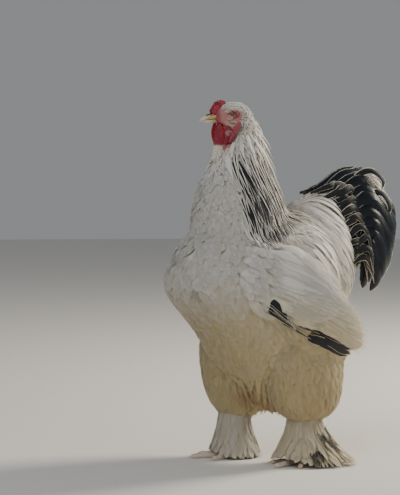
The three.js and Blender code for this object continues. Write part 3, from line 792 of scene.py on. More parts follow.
@dataclass
class Feathers:
    """Feathers of one cut: how they are laid and dyed."""

    spine: Array  # the middle line of each, as feathers x steps x 3
    normal: Array  # the way each faces at those steps
    width: Array  # the full width of each
    outline: Callable[[Array], Array]  # the share of the width at a share of the length
    camber: float  # how high the middle stands over the edges, as a share of the width
    dyes: dict[str, Array | float]  # the finish's numbers, one for each feather or one for all
    roots: Array  # the place of each on the baking map

    def axes(self) -> tuple[Array, Array, Array]:
        """The ways ahead, up and sideways at each step."""
        ahead = unit(np.gradient(self.spine, axis=1))
        up = unit(self.normal - ahead * (self.normal * ahead).sum(-1, keepdims=True))
        return ahead, up, np.cross(ahead, up)


class Coat:
    """Feathers that are gathered into one joined mesh."""

    GROUND = 0.3  # how low a feather may hang over the floor

    def __init__(self, name: str, finish: Plumage) -> None:
        """Starts with no feathers."""
        self.name, self.finish = name, finish
        self.points: list[Array] = []
        self.bake: list[Array] = []
        self.vanes: list[Array] = []
        self.dyes: list[Array] = []
        self.topology: list[tuple[Template, int]] = []

    def add(self, template: Template, lot: Feathers, ragged: float = 0.0, seed: int = 0) -> None:
        """Adds feathers that share a template.

        Args:
            template: the pattern of one feather.
            lot: how they are laid and dyed.
            ragged: how much of the width the edges lose at random.
            seed: of the ragged edges.
        """
        count, along, across = len(lot.spine), template.along, template.across
        _, up, side = lot.axes()
        middle, up, side = (read(grid, along[None]) for grid in (lot.spine, up, side))
        reach = lot.width[:, None] / 2 * lot.outline(along)
        if ragged:
            loss = np.random.default_rng(seed).random((count, len(along))) ** 2 * ragged
            reach = reach * (1.0 - loss * (np.abs(across) > 0.9) * (along > 0.25))
        rise = lot.camber * lot.width[:, None] * (1.0 - across**2) * lot.outline(along)
        points = middle + unit(side) * (across * reach)[..., None] + unit(up) * rise[..., None]
        self.points.append(points.reshape(-1, 3))
        patch = np.stack((across / 2, along - 0.5), axis=-1) * BAKE_PATCH
        self.bake.append((lot.roots[:, None] + patch).reshape(-1, 2))
        self.vanes.append(np.tile(np.stack(((across + 1) / 2, along), axis=-1), (count, 1)))
        dyes = np.zeros((count, len(DYES)))
        for key, amount in lot.dyes.items():
            dyes[:, DYES.index(key)] = amount
        self.dyes.append(np.repeat(dyes, len(along), axis=0))
        self.topology.append((template, count))

    def fray(self, lot: Feathers, barbs: int, seed: int) -> None:
        """Adds loose barbs that soften the tips of feathers.

        Args:
            lot: the feathers.
            barbs: how many each of them gets.
            seed: of their small differences.
        """
        rng = np.random.default_rng(seed)
        count = len(lot.spine)
        whole = np.linalg.norm(np.diff(lot.spine, axis=1), axis=-1).sum(1)
        offs = np.clip(np.linspace(-0.86, 0.86, barbs) + rng.normal(size=(count, barbs)) * 0.09, -0.95, 0.95)
        table = np.linspace(0.5, 1, 60)
        reach = np.minimum.accumulate(lot.outline(table) / lot.outline(table).max())
        end = np.interp(-np.abs(offs), -reach, table)
        past = 0.02 + 0.13 * rng.random((count, barbs))
        begin = end - 0.34 - 0.16 * rng.random((count, barbs))
        t = begin[..., None] + (end + past - begin)[..., None] * np.linspace(0, 1, 4)
        middle, ahead, up, side = (read(grid, t) for grid in (lot.spine, *lot.axes()))
        wide = lot.width[:, None, None]
        beyond = np.maximum(t - 1, 0) * whole[:, None, None]
        splay = offs[..., None] * (1 + 0.5 * np.maximum(t - end[..., None] + 0.2, 0)) * wide / 2
        rise = lot.camber * wide * (1 - offs[..., None] ** 2) * lot.outline(np.clip(t, 0, 1))
        rise = rise + 0.25 + 0.5 * rng.random((count, barbs, 1))
        points = middle + side * splay[..., None] + ahead * beyond[..., None] + up * rise[..., None]
        thin = np.repeat(lot.width / barbs * 1.05, barbs) * (0.75 + 0.5 * rng.random(count * barbs))
        dyes = {key: np.repeat(v, barbs) if np.ndim(v) else v for key, v in lot.dyes.items()}
        dyes["shade"] = rng.random(count * barbs) * 0.35
        roots = np.repeat(lot.roots, barbs, axis=0)
        points, up = points.reshape(-1, 4, 3), up.reshape(-1, 4, 3)
        self.add(Template.cut(3, 2, 1.2), Feathers(points, up, thin, wispy, 0.05, dyes, roots))

    def finished(self, drawing: Drawing) -> None:
        """Makes the joined mesh, in the frame, and dresses it."""
        made: list[list[Array]] = [[], [], [], [], []]
        base = np.zeros(3, int)  # the vertices, edges and loops so far
        for t, count in self.topology:
            sizes = np.array((len(t.along), len(t.edges), len(t.loops)))
            turn = base + np.arange(count)[:, None] * sizes
            patterns = (t.edges.ravel(), t.loops, t.loop_edges, t.starts)
            for part, local, kind in zip(made, patterns, (0, 0, 1, 2)):
                part.append((local + turn[:, kind, None]).ravel())
            made[4].append(np.tile(t.sharp, count))
            base += count * sizes
        edges, corners, corner_edges, starts, sharp = (np.concatenate(part) for part in made)
        points = np.concatenate(self.points)
        points[:, 2] = np.maximum(points[:, 2], self.GROUND)
        mesh = bpy.data.meshes.new(self.name)
        for part, size in zip((mesh.vertices, mesh.edges, mesh.loops), base):
            part.add(int(size))
        mesh.polygons.add(len(starts))
        mesh.vertices.foreach_set("co", drawing.place(points).astype(np.float32).ravel())
        for part, key, values in (
            (mesh.edges, "vertices", edges), (mesh.loops, "vertex_index", corners),
            (mesh.loops, "edge_index", corner_edges), (mesh.polygons, "loop_start", starts),
        ):
            part.foreach_set(key, values.astype(np.int32))
        for name, stored in ((BAKE_MAP, self.bake), (VANE_MAP, self.vanes)):
            layer = mesh.uv_layers.new(name=name)
            layer.data.foreach_set("uv", np.concatenate(stored)[corners].astype(np.float32).ravel())
        mesh.update()
        mesh.attributes.new("sharp_edge", "BOOLEAN", "EDGE").data.foreach_set("value", sharp)
        piece = bpy.data.objects.new(self.name, mesh)
        bpy.context.scene.collection.objects.link(piece)
        dye(piece, **dict(zip(DYES, np.concatenate(self.dyes).T)))
        wear(piece, self.finish)


class Field:
    """The distance to the skin on a grid, read smoothly at any place."""

    STEP = 6.0
    MARGIN = 60.0

    def __init__(self, tree: BVHTree, low: Array, high: Array) -> None:
        """Measures the distance to the skin at each node of a grid.

        Args:
            tree: of the closed skin.
            low: the skin's lowest corner.
            high: its highest corner.
        """
        self.low = low - self.MARGIN
        size = np.ceil((high - low + 2 * self.MARGIN) / self.STEP).astype(int) + 1
        nodes = self.low + self.STEP * np.stack(np.indices(size), axis=-1).reshape(-1, 3)
        found = [tree.find_nearest(node) for node in nodes.tolist()]
        spots, normals = (np.array([f[k] for f in found]) for k in (0, 1))
        inside = ((nodes - spots) * normals).sum(-1)
        grid = np.where(inside > 0, 1, -1) * np.array([f[3] for f in found])
        grid = grid.reshape(size)
        for axis in range(3):
            grid = (np.roll(grid, 1, axis) + 2 * grid + np.roll(grid, -1, axis)) / 4
        self.grid = np.stack((grid, *np.gradient(grid, self.STEP)), axis=-1)

    def read(self, points: Array) -> tuple[Array, Array]:
        """The distance at points, and its slope."""
        place = (points - self.low) / self.STEP
        place = np.clip(place, 0, np.array(self.grid.shape[:3]) - 1.001)
        base = place.astype(int)
        share = place - base
        found = np.zeros((len(points), 4))
        for corner in np.ndindex(2, 2, 2):
            weight = np.prod(np.where(corner, share, 1 - share), axis=1)
            cell = base + corner
            found += self.grid[cell[:, 0], cell[:, 1], cell[:, 2]] * weight[:, None]
        return found[:, 0], found[:, 1:]

    def settle(self, points: Array, height: Array | float, rounds: int = 3) -> tuple[Array, Array]:
        """Moves points to a height over the skin.

        Args:
            points: anywhere near the skin.
            height: over the skin, below 0 inside it.
            rounds: of the search.

        Returns:
            The moved points and the skin's normals there.
        """
        for _ in range(rounds):
            distance, slope = self.read(points)
            steep = np.maximum((slope**2).sum(-1), 0.3)
            points = points - slope * ((distance - height) / steep)[:, None]
        return points, unit(self.read(points)[1])


class Region(Enum):
    """The part of the skin that a place belongs to."""

    TRUNK = 0
    NECK = 1
    SADDLE = 2
    TAIL = 3
    THIGH = 4
    SHANK = 5
    WING = 6
    HEAD = 7


@dataclass(frozen=True)
class Style:
    """How the feathers of a tract are cut and laid."""

    length: float
    width: float
    lift: float
    spacing: float
    outline: Callable[[Array], Array] = rounded
    rows: int = 5
    columns: int = 2
    root: float = -1.0
    rise: float = 1.8
    camber: float = 0.07
    stray: float = 0.12
    spread: float = 0.12
    ragged: float = 0.12
    loose: float = 0.9  # how much the tips differ in height
    hang: float = 0.0  # how freely the tips hang where the skin curves in under them
    barbs: int = 0  # loose barbs that fray the tip
    long: float = 1.0  # how much further apart the roots are along the lie than across it
    packing: float = 1.3


class Body:
    """The flesh of the bird: its forms, its one skin, and places and directions on it."""

    FLESH = (
        "head", "neck", "torso", "saddle", "tail", "thigh_left", "thigh_right", "wing_left", "wing_right",
        "shank_left", "shank_right",
    )
    FORMS = (  # how deep each form's flesh lies under its slices, how square it is, and the slices
        (9.0, 2.2, (
            (100, 16, 20, 24, 2), (112, 36, 44, 54, 2), (136, 50, 64, 76), (170, 70, 92, 108, -6),
            (212, 91, 122, 134, -15), (262, 124, 142, 150, -20), (296, 132, 172, 152, -20),
            (345, 135, 209, 150, -20), (392, 128, 196, 144, -20), (436, 111, 165, 132, -22),
            (468, 80, 117, 102, -24), (484, 34, 52, 48, -26), (488, 12, 18, 16, -26),
        )),
        (7.0, 2.0, (
            (396, 84, 86, 92, -78), (440, 93, 96, 98, -77), (493, 84, 94, 85, -74), (545, 66, 78, 68, -76),
            (598, 47, 56, 52, -72), (620, 39, 39, 50, -71), (642, 31, 28, 46, -71), (666, 23, 20, 38, -77),
            (678, 10, 9, 13, -80),
        )),
        (7.0, 2.2, (
            (296, 16, 16, 12, 146), (320, 52, 50, 32, 134), (365, 82, 78, 58, 110), (415, 87, 82, 70, 96),
            (460, 74, 70, 60, 94), (498, 49, 46, 42, 100), (518, 26, 24, 24, 108), (526, 10, 10, 10, 112),
        )),
        (6.0, 2.2, (
            (350, 12, 10, 12, 172), (372, 30, 26, 26, 174), (410, 36, 34, 36, 172), (450, 34, 32, 40, 164),
            (484, 24, 24, 32, 158), (500, 9, 9, 12, 158),
        )),
        (10.0, 2.2, (
            (82, 26, 30, 34), (96, 50, 56, 63), (130, 61, 73, 79), (185, 64, 84, 82), (240, 62, 84, 78),
            (292, 48, 66, 60), (320, 26, 34, 30),
        )),
        (6.0, 2.0, (
            (8, 14, 14, 15), (24, 21, 20, 22), (58, 22, 22, 24), (92, 27, 26, 30), (130, 22, 22, 24),
        )),
    )
    VOXEL = 3.6
    COARSE_VOXEL = 9.0
    HEAD_VOXEL = 1.0
    STRIDE = 74.0
    THIGH_APART = 66.0
    SHANK_APART = 64.0
    LEFT_Y = 30.0

    def __init__(self, drawing: Drawing, wings: dict[Side, Wing], head: Head) -> None:
        """Builds the forms and the skin.

        Args:
            drawing: carries the places into the frame.
            wings: the two wings, whose flesh is part of the skin.
            head: the head, whose flesh is too.
        """
        self.drawing, self.wings, self.head, self.markings = drawing, wings, head, Markings()
        self.face_regions: Array | None = None
        forms = [Form(rows, power).shrunk(depth) for depth, power, rows in self.FORMS]
        self.trunk, self.neck, self.saddle, self.tail, thigh, shank = forms
        self.thighs = {side: thigh.moved(*self.thigh_place(side)) for side in Side}
        self.shanks = {side: shank.moved(*self.ankle(side)[:2]) for side in Side}
        self.make_skin()

    def thigh_place(self, side: Side) -> tuple[float, float]:
        """The middle of a thigh, seen from above."""
        step = 0.0 if side is Side.LEFT else self.STRIDE * 0.82
        return side.value * self.THIGH_APART, self.LEFT_Y - step

    def ankle(self, side: Side) -> Array:
        """The middle of an ankle, on the floor."""
        step = 0.0 if side is Side.LEFT else self.STRIDE
        return np.array((side.value * self.SHANK_APART, self.LEFT_Y - step, 0.0))

    def make_skin(self) -> None:
        """Joins the forms into the skin, and measures it for the coat."""
        bm = bmesh.new()
        legs = (*self.thighs.values(), *self.shanks.values())
        for form in (self.trunk, self.neck, self.saddle, self.tail, *legs):
            form.build(bm, 64, 48)
        for wing in self.wings.values():
            wing.build_flesh(bm)
        self.skin = remeshed(bm, self.VOXEL, 5)
        face = mesh_of("face", self.head.flesh(self.HEAD_VOXEL))
        self.skin.from_mesh(face)
        bpy.data.meshes.remove(face)
        bmesh.ops.triangulate(self.skin, faces=self.skin.faces)
        self.corners = np.array([v.co for v in self.skin.verts])
        self.faces = np.array([[v.index for v in f.verts] for f in self.skin.faces])
        self.field = Field(BVHTree.FromBMesh(self.skin), self.corners.min(0), self.corners.max(0))

    def unwrap(self) -> None:
        """Unwraps a coarse copy of the skin, on which the coat's baking patches are placed."""
        holder = linked("unwrap", mesh_of("unwrap", self.skin.copy()))
        modifier = voxels(holder, self.COARSE_VOXEL)
        bpy.context.view_layer.objects.active = holder
        bpy.ops.object.select_all(action="DESELECT")
        holder.select_set(True)
        bpy.ops.object.modifier_apply(modifier=modifier.name)
        bpy.ops.object.mode_set(mode="EDIT")
        bpy.ops.mesh.select_all(action="SELECT")
        bpy.ops.mesh.quads_convert_to_tris()
        bpy.ops.uv.smart_project(angle_limit=math.radians(66), island_margin=0.004)
        bpy.ops.object.mode_set(mode="OBJECT")
        mesh = holder.data
        self.flat_tree = BVHTree.FromObject(holder, bpy.context.evaluated_depsgraph_get())
        corners = np.array([v.co for v in mesh.vertices])
        self.flat_faces = corners[np.array([p.vertices[:] for p in mesh.polygons])]
        uv = np.zeros(len(mesh.loops) * 2, np.float32)
        mesh.uv_layers.active.data.foreach_get("uv", uv)
        self.flat_uv = uv.reshape(-1, 3, 2)
        bpy.data.objects.remove(holder)

    def dress(self) -> None:
        """Makes the one skin of the flesh, dyed like the coat."""
        points = np.array([v.co for v in self.skin.verts])
        dyes = self.markings.skin(self, points, self.region(points))
        add_piece(self.drawing, "skin", self.skin, BirdSkin(), *self.FLESH, **dyes)

    def bake_places(self, points: Array) -> Array:
        """The places of points on the unwrapped skin."""
        found = [self.flat_tree.find_nearest(p) for p in points.tolist()]
        faces = np.array([f[2] for f in found])
        spots = np.array([f[0] for f in found])
        a, b, c = self.flat_faces[faces].transpose(1, 0, 2)
        normal = np.cross(b - a, c - a)
        area = np.maximum((normal**2).sum(-1), 1e-9)
        second = (np.cross(spots - a, c - a) * normal).sum(-1) / area
        third = (np.cross(b - a, spots - a) * normal).sum(-1) / area
        return (self.flat_uv[faces] * xyz(1 - second - third, second, third)[..., None]).sum(1)

    def region(self, points: Array) -> Array:
        """The number of the region that each point belongs to."""
        single = [[form] for form in (self.trunk, self.neck, self.saddle, self.tail)]
        paired = [pair.values() for pair in (self.thighs, self.shanks, self.wings)]
        groups = (*single, *paired, [self.head])
        distances = [np.minimum.reduce([form.distance(points) for form in group]) for group in groups]
        return np.abs(np.stack(distances, axis=-1)).argmin(-1)

    def scatter(
        self, style: Style, seed: int, wanted: Wanted, axis: Sequence[float] = (0.0, 0.0, 1.0)
    ) -> Array:
        """Spreads the roots of feathers evenly over part of the skin.

        Args:
            style: how far apart they are.
            seed: of the random draw.
            wanted: tells from points and their regions which are kept.
            axis: the way along which they are further apart.

        Returns:
            The places.
        """
        rng = np.random.default_rng(seed)
        a, b, c = (self.corners[self.faces[:, k]] for k in range(3))
        areas = np.linalg.norm(np.cross(b - a, c - a), axis=1) / 2
        middles = (a + b + c) / 3
        if self.face_regions is None:
            self.face_regions = self.region(middles)
        chosen = np.flatnonzero(wanted(middles, self.face_regions))
        share = areas[chosen] / areas[chosen].sum()
        count = int(areas[chosen].sum() / (style.spacing**2 * style.long) * 3.2) + 1
        faces = chosen[rng.choice(len(chosen), count, p=share)]
        u, v = rng.random((2, count))
        flip = u + v > 1
        u, v = np.where(flip, 1 - u, u), np.where(flip, 1 - v, v)
        points = a[faces] + (b - a)[faces] * u[:, None] + (c - a)[faces] * v[:, None]
        measured = points - np.outer(points @ np.array(axis), axis) * (1 - 1 / style.long)
        return points[thinned(measured, style.spacing)]

    def lay(
        self, roots: Array, style: Style, flow: Flow, seed: int, scale: Array | float = 1.0,
        calm: Share | None = None,
    ) -> tuple[Array, Array, Array]:
        """Lays feathers on the skin along a flow.

        Args:
            roots: where they grow.
            style: how they are cut and laid.
            flow: the direction of the lie at points.
            seed: of the strays.
            scale: of each feather's length.
            calm: how much of the full height they rise at places.

        Returns:
            The spines, the normals and the widths.
        """
        rng = np.random.default_rng(seed)
        count = len(roots)
        size = (1 + style.spread * rng.normal(size=count)).clip(0.7, 1.35)
        step = (style.length * size * scale / style.rows)[:, None]
        turn = style.stray * rng.normal(size=count)
        sway = 1.4 * style.stray * rng.normal(size=count)
        level = rng.random(count) * style.loose

        def high(points: Array, t: float) -> Array:
            """The height over the skin at a share of the length."""
            rise = (style.lift - style.root) * (1 - (1 - t) ** style.rise) + level * t
            return style.root + rise * (calm(points) if calm else 1.0)

        place, normal = self.field.settle(roots, high(roots, 0.0))
        spine, normals = [place], [normal]
        for t in np.linspace(0, 1, style.rows + 1)[1:]:
            lie = unit(flow(place))
            into = (lie * normal).sum(-1, keepdims=True)
            direction = unit(lie - normal * into)
            sideways = np.cross(normal, direction)
            angle = (turn + sway * (2 * t - 1))[:, None]
            direction = direction * np.cos(angle) + sideways * np.sin(angle)
            if style.hang:
                direction = unit(mixed(direction, lie, style.hang * smooth(into, 0.0, 0.3)))
            free = place + direction * step
            height = high(free, t)
            place, normal = self.field.settle(free, height, 2)
            if style.hang:
                outside = (self.field.read(free)[0] > height)[:, None]
                place = np.where(outside, mixed(place, free, style.hang), place)
            spine.append(place)
            normals.append(normal)
        return np.stack(spine, 1), np.stack(normals, 1), style.width * size


def thinned(points: Array, spacing: float) -> list[int]:
    """Picks from points in random order those that keep a distance from the ones before."""
    cells: dict[tuple[int, int, int], list[tuple[float, float, float]]] = {}
    around = [(i - 1, j - 1, k - 1) for i, j, k in np.ndindex(3, 3, 3)]
    picked = []
    limit = spacing * spacing
    keys = np.floor(points / spacing).astype(int).tolist()
    for index, ((i, j, k), (x, y, z)) in enumerate(zip(keys, points.tolist())):
        near = (cells.get((i + a, j + b, k + c), ()) for a, b, c in around)
        if any((x - u) ** 2 + (y - v) ** 2 + (z - w) ** 2 < limit for found in near for u, v, w in found):
            continue
        cells.setdefault((i, j, k), []).append((x, y, z))
        picked.append(index)
    return picked


class Markings:
    """The colours of the bird as numbers that change over it, alike for skin and coat."""

    VIEW = (0.574, 0.819)
    SMUDGES = (  # across the view from the left front, height, half width, half height and ink
        (-181, 391, 6, 7, 0.5), (-196, 372, 4, 5, 0.3), (-156, 366, 7, 4, 0.35), (-138, 360, 8, 4, 0.35),
        (-34, 378, 7, 5, 0.5), (-44, 370, 5, 4, 0.35), (-20, 352, 6, 4, 0.2), (-140, 334, 14, 2.5, 0.4),
        (-126, 324, 14, 2.5, 0.45), (-134, 308, 14, 2.5, 0.35), (-118, 296, 12, 2.5, 0.3),
        (-150, 480, 4, 12, 0.35), (-132, 515, 4, 12, 0.35), (-112, 470, 3, 10, 0.25),
    )
    BUFF_TOP = 150.0
    BUFF_HALF = 34.0

    def warm(self, points: Array) -> Array:
        """How cream the coat is: 0 white, 1 cream, 2 buff. Its rise towards the bottom and low on the left
        side is partly the coat's own cream and partly painted shade.
        """
        x, y, z = points.T
        front = smooth(y, -60, -150) * smooth(z, 360, 260)
        # Cream deepens towards the bottom: partly the coat's own tint, partly painted shade.
        cream = 0.14 + 0.64 * smooth(z, 400, 200) + 0.12 * front + 0.2 * smooth(z, 210, 120)
        # Low on the left side it deepens more: partly own cream, partly painted shade.
        cream = mixed(cream, 0.52, smooth(z, 100, 40)) + 0.34 * smooth(x, 0, 30) * smooth(z, 190, 60)
        # Low on the left wing and flank, under the wing, this extra cream is painted shade.
        cream = cream + 0.12 * smooth(x, 90, 125) * smooth(z, 330, 280)
        inner = smooth(np.abs(x), self.BUFF_HALF, self.BUFF_HALF - 22) * smooth(z, self.BUFF_TOP, 118)
        return cream + inner * smooth(z, 46, 70) * 0.8

    def smudge(self, points: Array) -> Array:
        """How grey the smudges make the coat."""
        x, y, z = points.T
        across = self.VIEW[0] * x + self.VIEW[1] * y
        near = smooth(self.VIEW[1] * x - self.VIEW[0] * y, 20, 60)
        total = np.zeros(len(points))
        for middle, level, wide, tall, ink in self.SMUDGES:
            far = ((across - middle) / wide) ** 2 + ((z - level) / tall) ** 2
            total = np.maximum(total, ink * np.exp(-far))
        return total * near

    def hackle(self, points: Array) -> Array:
        """How wide the black stripes of the hackle are: 0 none, 1 the most."""
        turn, z = Hackle.turn(points), points[:, 2]
        rear = smooth(turn, 96, 138)
        beside = smooth(turn - Hackle.opening(z), -4, 22)
        return beside * smooth(z, 612 - 20 * rear, 492) * (1 - 0.50 * rear)

    def skin(self, body: Body, points: Array, regions: Array) -> dict[str, Array]:
        """The dyes of the skin's own vertices.

        Args:
            body: the bird's forms.
            points: the skin's vertices.
            regions: the region of each.

        Returns:
            The dyes by name.
        """
        ink = np.where(regions == Region.NECK.value, 0.4 * self.hackle(points), 0.0)
        ink = np.maximum(ink, np.where(regions == Region.TAIL.value, 0.95, 0.0))
        return {"ink": ink, "warm": self.warm(points), "bare": body.head.bare(points)}


@dataclass(frozen=True)
class Quills:
    """One row of a wing's long feathers, from its lowest feather to its highest one."""

    count: int
    starts: tuple[tuple[float, float], ...]  # places (y, z) of the roots
    ends: tuple[tuple[float, float], ...]  # and of the tips
    width: float
    lift: float
    step: float = 0.0  # how much higher each next one lies
    sag: float = 0.0  # how far its middle bows down
    ink: float = 0.0
    lace: float = 0.3
    barbs: int = 0
    outline: Callable[[Array], Array] = broad


@dataclass
class Wing:
    """A folded wing: the almond of its flesh, its coverts and its flight feathers."""

    side: Side
    shoulder: tuple[float, float] = (-152.0, 404.0)
    tip: tuple[float, float] = (128.0, 222.0)
    chord: float = 64.0
    thickness: float = 17.0
    crest: tuple[float, float, float] = (149.0, -20.0, 320.0)
    bend_forward: float = 0.0019
    bend_back: float = 0.00098
    bend_up: float = 0.0013
    depth: float = 5.0

    LOWER_EDGE = (
        (-160, 330), (-125, 306), (-75, 284), (-30, 268), (20, 256), (60, 240), (100, 222), (140, 205),
    )
    ROWS = (
        Quills(
            6, ((-128, 322), (-112, 332)), ((-46, 264), (-66, 286)),
            14, 9.0, 0.5, -3, 1, 0.12, 0, pointed,
        ),
        Quills(2, ((-76, 284), (-70, 288)), ((-10, 248), (6, 254)), 5, 7.0, 0.6, 2, 1, 0.2, 0, pointed),
        Quills(
            9, ((-26, 256), (-4, 272)), ((50, 234), (82, 212), (98, 206), (104, 218), (100, 240)),
            19, 5.0, 0.6, 3, 1, 0.12, 0, rounded,
        ),
        Quills(
            15, ((-68, 300), (-60, 325), (-30, 352)),
            (
                (36, 266), (72, 254), (100, 236), (124, 220), (130, 230), (120, 252), (104, 276), (80, 298),
                (62, 312),
            ),
            24, 8.5, 0.4, 4, 0, 0.4, 6,
        ),
        Quills(
            13, ((-122, 332), (-108, 356), (-80, 388)),
            ((-34, 293), (10, 282), (40, 290), (50, 312), (40, 334), (20, 352)),
            24, 12.0, 0.2, 4, 0, 0.4, 6,
        ),
        Quills(
            8, ((-118, 372), (-100, 396), (-76, 420)), ((84, 288), (62, 316), (28, 346), (-2, 372)),
            24, 13.0, 0.8, -6, 0, 0.4, 6,
        ),
    )

    def __post_init__(self) -> None:
        """Finds the almond's line and the way across it."""
        self.start = np.array(self.shoulder)
        self.axis = np.array(self.tip) - self.start
        self.up = np.array((-self.axis[1], self.axis[0])) / np.linalg.norm(self.axis)

    def reach(self, y: Array, z: Array) -> Array:
        """How far out the wing's surface is at (y, z)."""
        x, middle, level = self.crest
        bend = np.where(y < middle, self.bend_forward, self.bend_back)
        return x - bend * (y - middle) ** 2 - self.bend_up * (z - level) ** 2

    def half_chord(self, along: Array) -> Array:
        """Half of the wing's width at a share of its length."""
        swell = np.sin(math.pi * np.clip(0.14 + 0.72 * along, 0, 1))
        return self.chord * (0.62 + 0.7 * np.maximum(swell, 0) ** 1.5)

    def spot(self, along: Array, across: Array) -> tuple[Array, Array]:
        """The (y, z) at shares along and across the wing."""
        wide = across * self.half_chord(along)
        y, z = (self.start[k] + self.axis[k] * along + self.up[k] * wide for k in range(2))
        return y, z

    def shares(self, y: Array, z: Array) -> tuple[Array, Array]:
        """The shares along and across the wing of (y, z)."""
        off_y, off_z = y - self.start[0], z - self.start[1]
        along = (off_y * self.axis[0] + off_z * self.axis[1]) / (self.axis @ self.axis)
        return along, (off_y * self.up[0] + off_z * self.up[1]) / self.half_chord(along)

    @staticmethod
    def fill(height: Array) -> Array:
        """How full the almond is at heights from -1 to 1."""
        return np.maximum(0.35, np.sqrt(np.maximum(1 - height**2, 0)) + 0.12)

    def level(self, y: Array, z: Array) -> Array:
        """How far (y, z) is from the almond's middle: 1 at its rim."""
        along, across = self.shares(y, z)
        height = 2 * along - 1
        return np.hypot(height, across * self.fill(height))

    def cover(self, y: Array, z: Array) -> Array:
        """How far out the flight feathers lie at (y, z), past the almond's rim too."""
        return self.reach(y, z) - 9.0 * np.minimum(self.level(y, z), 1.15) ** 3

    def over_edge(self, points: Array) -> Array:
        """How far points are over the wing's lower edge."""
        ys, zs = zip(*self.LOWER_EDGE)
        return points[:, 2] - np.interp(points[:, 1], ys, zs)

    def distance(self, points: Array) -> Array:
        """About how far points are from the wing's flesh."""
        x, y, z = points[:, 0] * self.side.value, points[:, 1], points[:, 2]
        level = self.level(y, z) * self.chord / (self.chord - self.depth)
        hollow = 1 - np.sqrt(np.maximum(1 - level**2, 0))
        over = x - (self.reach(y, z) - self.depth - (self.thickness - self.depth / 2) * hollow)
        beyond = np.maximum(level - 1, 0) * self.chord
        return np.where(x < 0, 500.0, np.where(level < 1, over, np.hypot(beyond, over)))

    def build_flesh(self, bm: bmesh.types.BMesh) -> None:
        """Adds the almond of the wing's flesh."""
        made = ball(bm, 40, 32)

        def shape(points: Array) -> Array:
            """Maps the ball onto the almond."""
            x, y, z = points.T
            narrow = (self.chord - self.depth) / self.chord
            y, z = self.spot(mixed(0.5, (1 + z) / 2, narrow), y / self.fill(z) * narrow)
            out = self.reach(y, z) - self.depth + (self.thickness - self.depth / 2) * (x - 1)
            return xyz(out * self.side.value, y, z)

        place_vertices(made, shape)
        if self.side is Side.LEFT:
            faces = {face for vertex in made for face in vertex.link_faces}
            bmesh.ops.reverse_faces(bm, faces=list(faces))

    def flow(self, points: Array) -> Array:
        """The lie of the wing's feathers: along it, drawn together towards its tip."""
        along, across = self.shares(points[:, 1], points[:, 2])
        draw = -0.30 * across * smooth(along, 0.2, 0.9) - 0.35 * smooth(along, 0.45, 0.0)
        flat = unit(self.axis) + self.up * draw[:, None]
        return xyz(0.0, flat[:, 0], flat[:, 1])

    def quills(self, body: Body, coat: Coat, row: Quills, seed: int) -> None:
        """Adds one row of long feathers to a coat.

        Args:
            body: gives the baking places.
            coat: the coat that they join.
            row: how they are cut and laid.
            seed: of their small differences.
        """
        rng = np.random.default_rng(seed)
        share = np.linspace(0, 1, row.count)
        starts, ends = Curve(row.starts).at(share)[:, None], Curve(row.ends).at(share)[:, None]
        ends = ends + rng.normal(size=ends.shape) * 1.6
        starts = starts + rng.normal(size=starts.shape) * (1 - row.ink) * (9, 2)
        t = np.linspace(0, 1, 13)[None, :, None]
        flat = mixed(starts, ends, t) - np.array((0, 1.0)) * row.sag * 4 * t * (1 - t)
        y, z = flat[..., 0], flat[..., 1]
        near = 1 - t[..., 0]
        lift = row.lift * np.minimum(1, 2.5 * (1 - near)) - 3 * near - 9 * row.ink * near**5
        lift = lift + row.step * np.arange(row.count)[:, None]
        x = self.cover(y, z) + lift
        slope_y = (self.cover(y + 1, z) - self.cover(y - 1, z)) / 2
        slope_z = (self.cover(y, z + 1) - self.cover(y, z - 1)) / 2
        sign = self.side.value
        spine, normal = xyz(x * sign, y, z), unit(xyz(sign, -slope_y * sign, -slope_z * sign))
        dyes = {
            "ink": row.ink,
            "lace": row.lace + 0.05 * rng.normal(size=row.count),
            "warm": np.maximum(body.markings.warm(spine[:, 9]) - 0.10, 0),
            "shade": rng.random(row.count) * 0.3,
        }
        width = row.width * (1 + 0.06 * rng.normal(size=row.count))
        lot = Feathers(spine, normal, width, row.outline, 0.06, dyes, body.bake_places(spine[:, 2]))
        coat.add(Template.cut(14, 6, 1.3), lot, 0.16, seed)
        if row.barbs:
            coat.fray(lot, row.barbs, seed + 1)

    def build(self, body: Body) -> None:
        """Makes the wing's coverts and flight feathers."""
        word, sign = self.side.word, self.side.value
        flight = Coat(f"wing_flight_{word}", WHITE)
        for number, row in enumerate(self.ROWS):
            self.quills(body, flight, row, 40 + sign + 10 * number)
        flight.finished(body.drawing)

        def wanted(points: Array, regions: Array) -> Array:
            """Keeps the wing's front half, over its lower edge."""
            mine = (regions == Region.WING.value) & (points[:, 0] * sign > 0)
            front = self.shares(points[:, 1], points[:, 2])[0] < 0.50
            return mine & front & (self.over_edge(points) > 16)

        style = Style(44, 17, 11.5, 7.2, rounded, 6, 4, stray=0.10, camber=0.05, barbs=6, long=1.5, loose=0.8)
        Tracts(body).cover(f"wing_coverts_{word}", style, 48 + sign, wanted, self.flow, warm=-0.10)


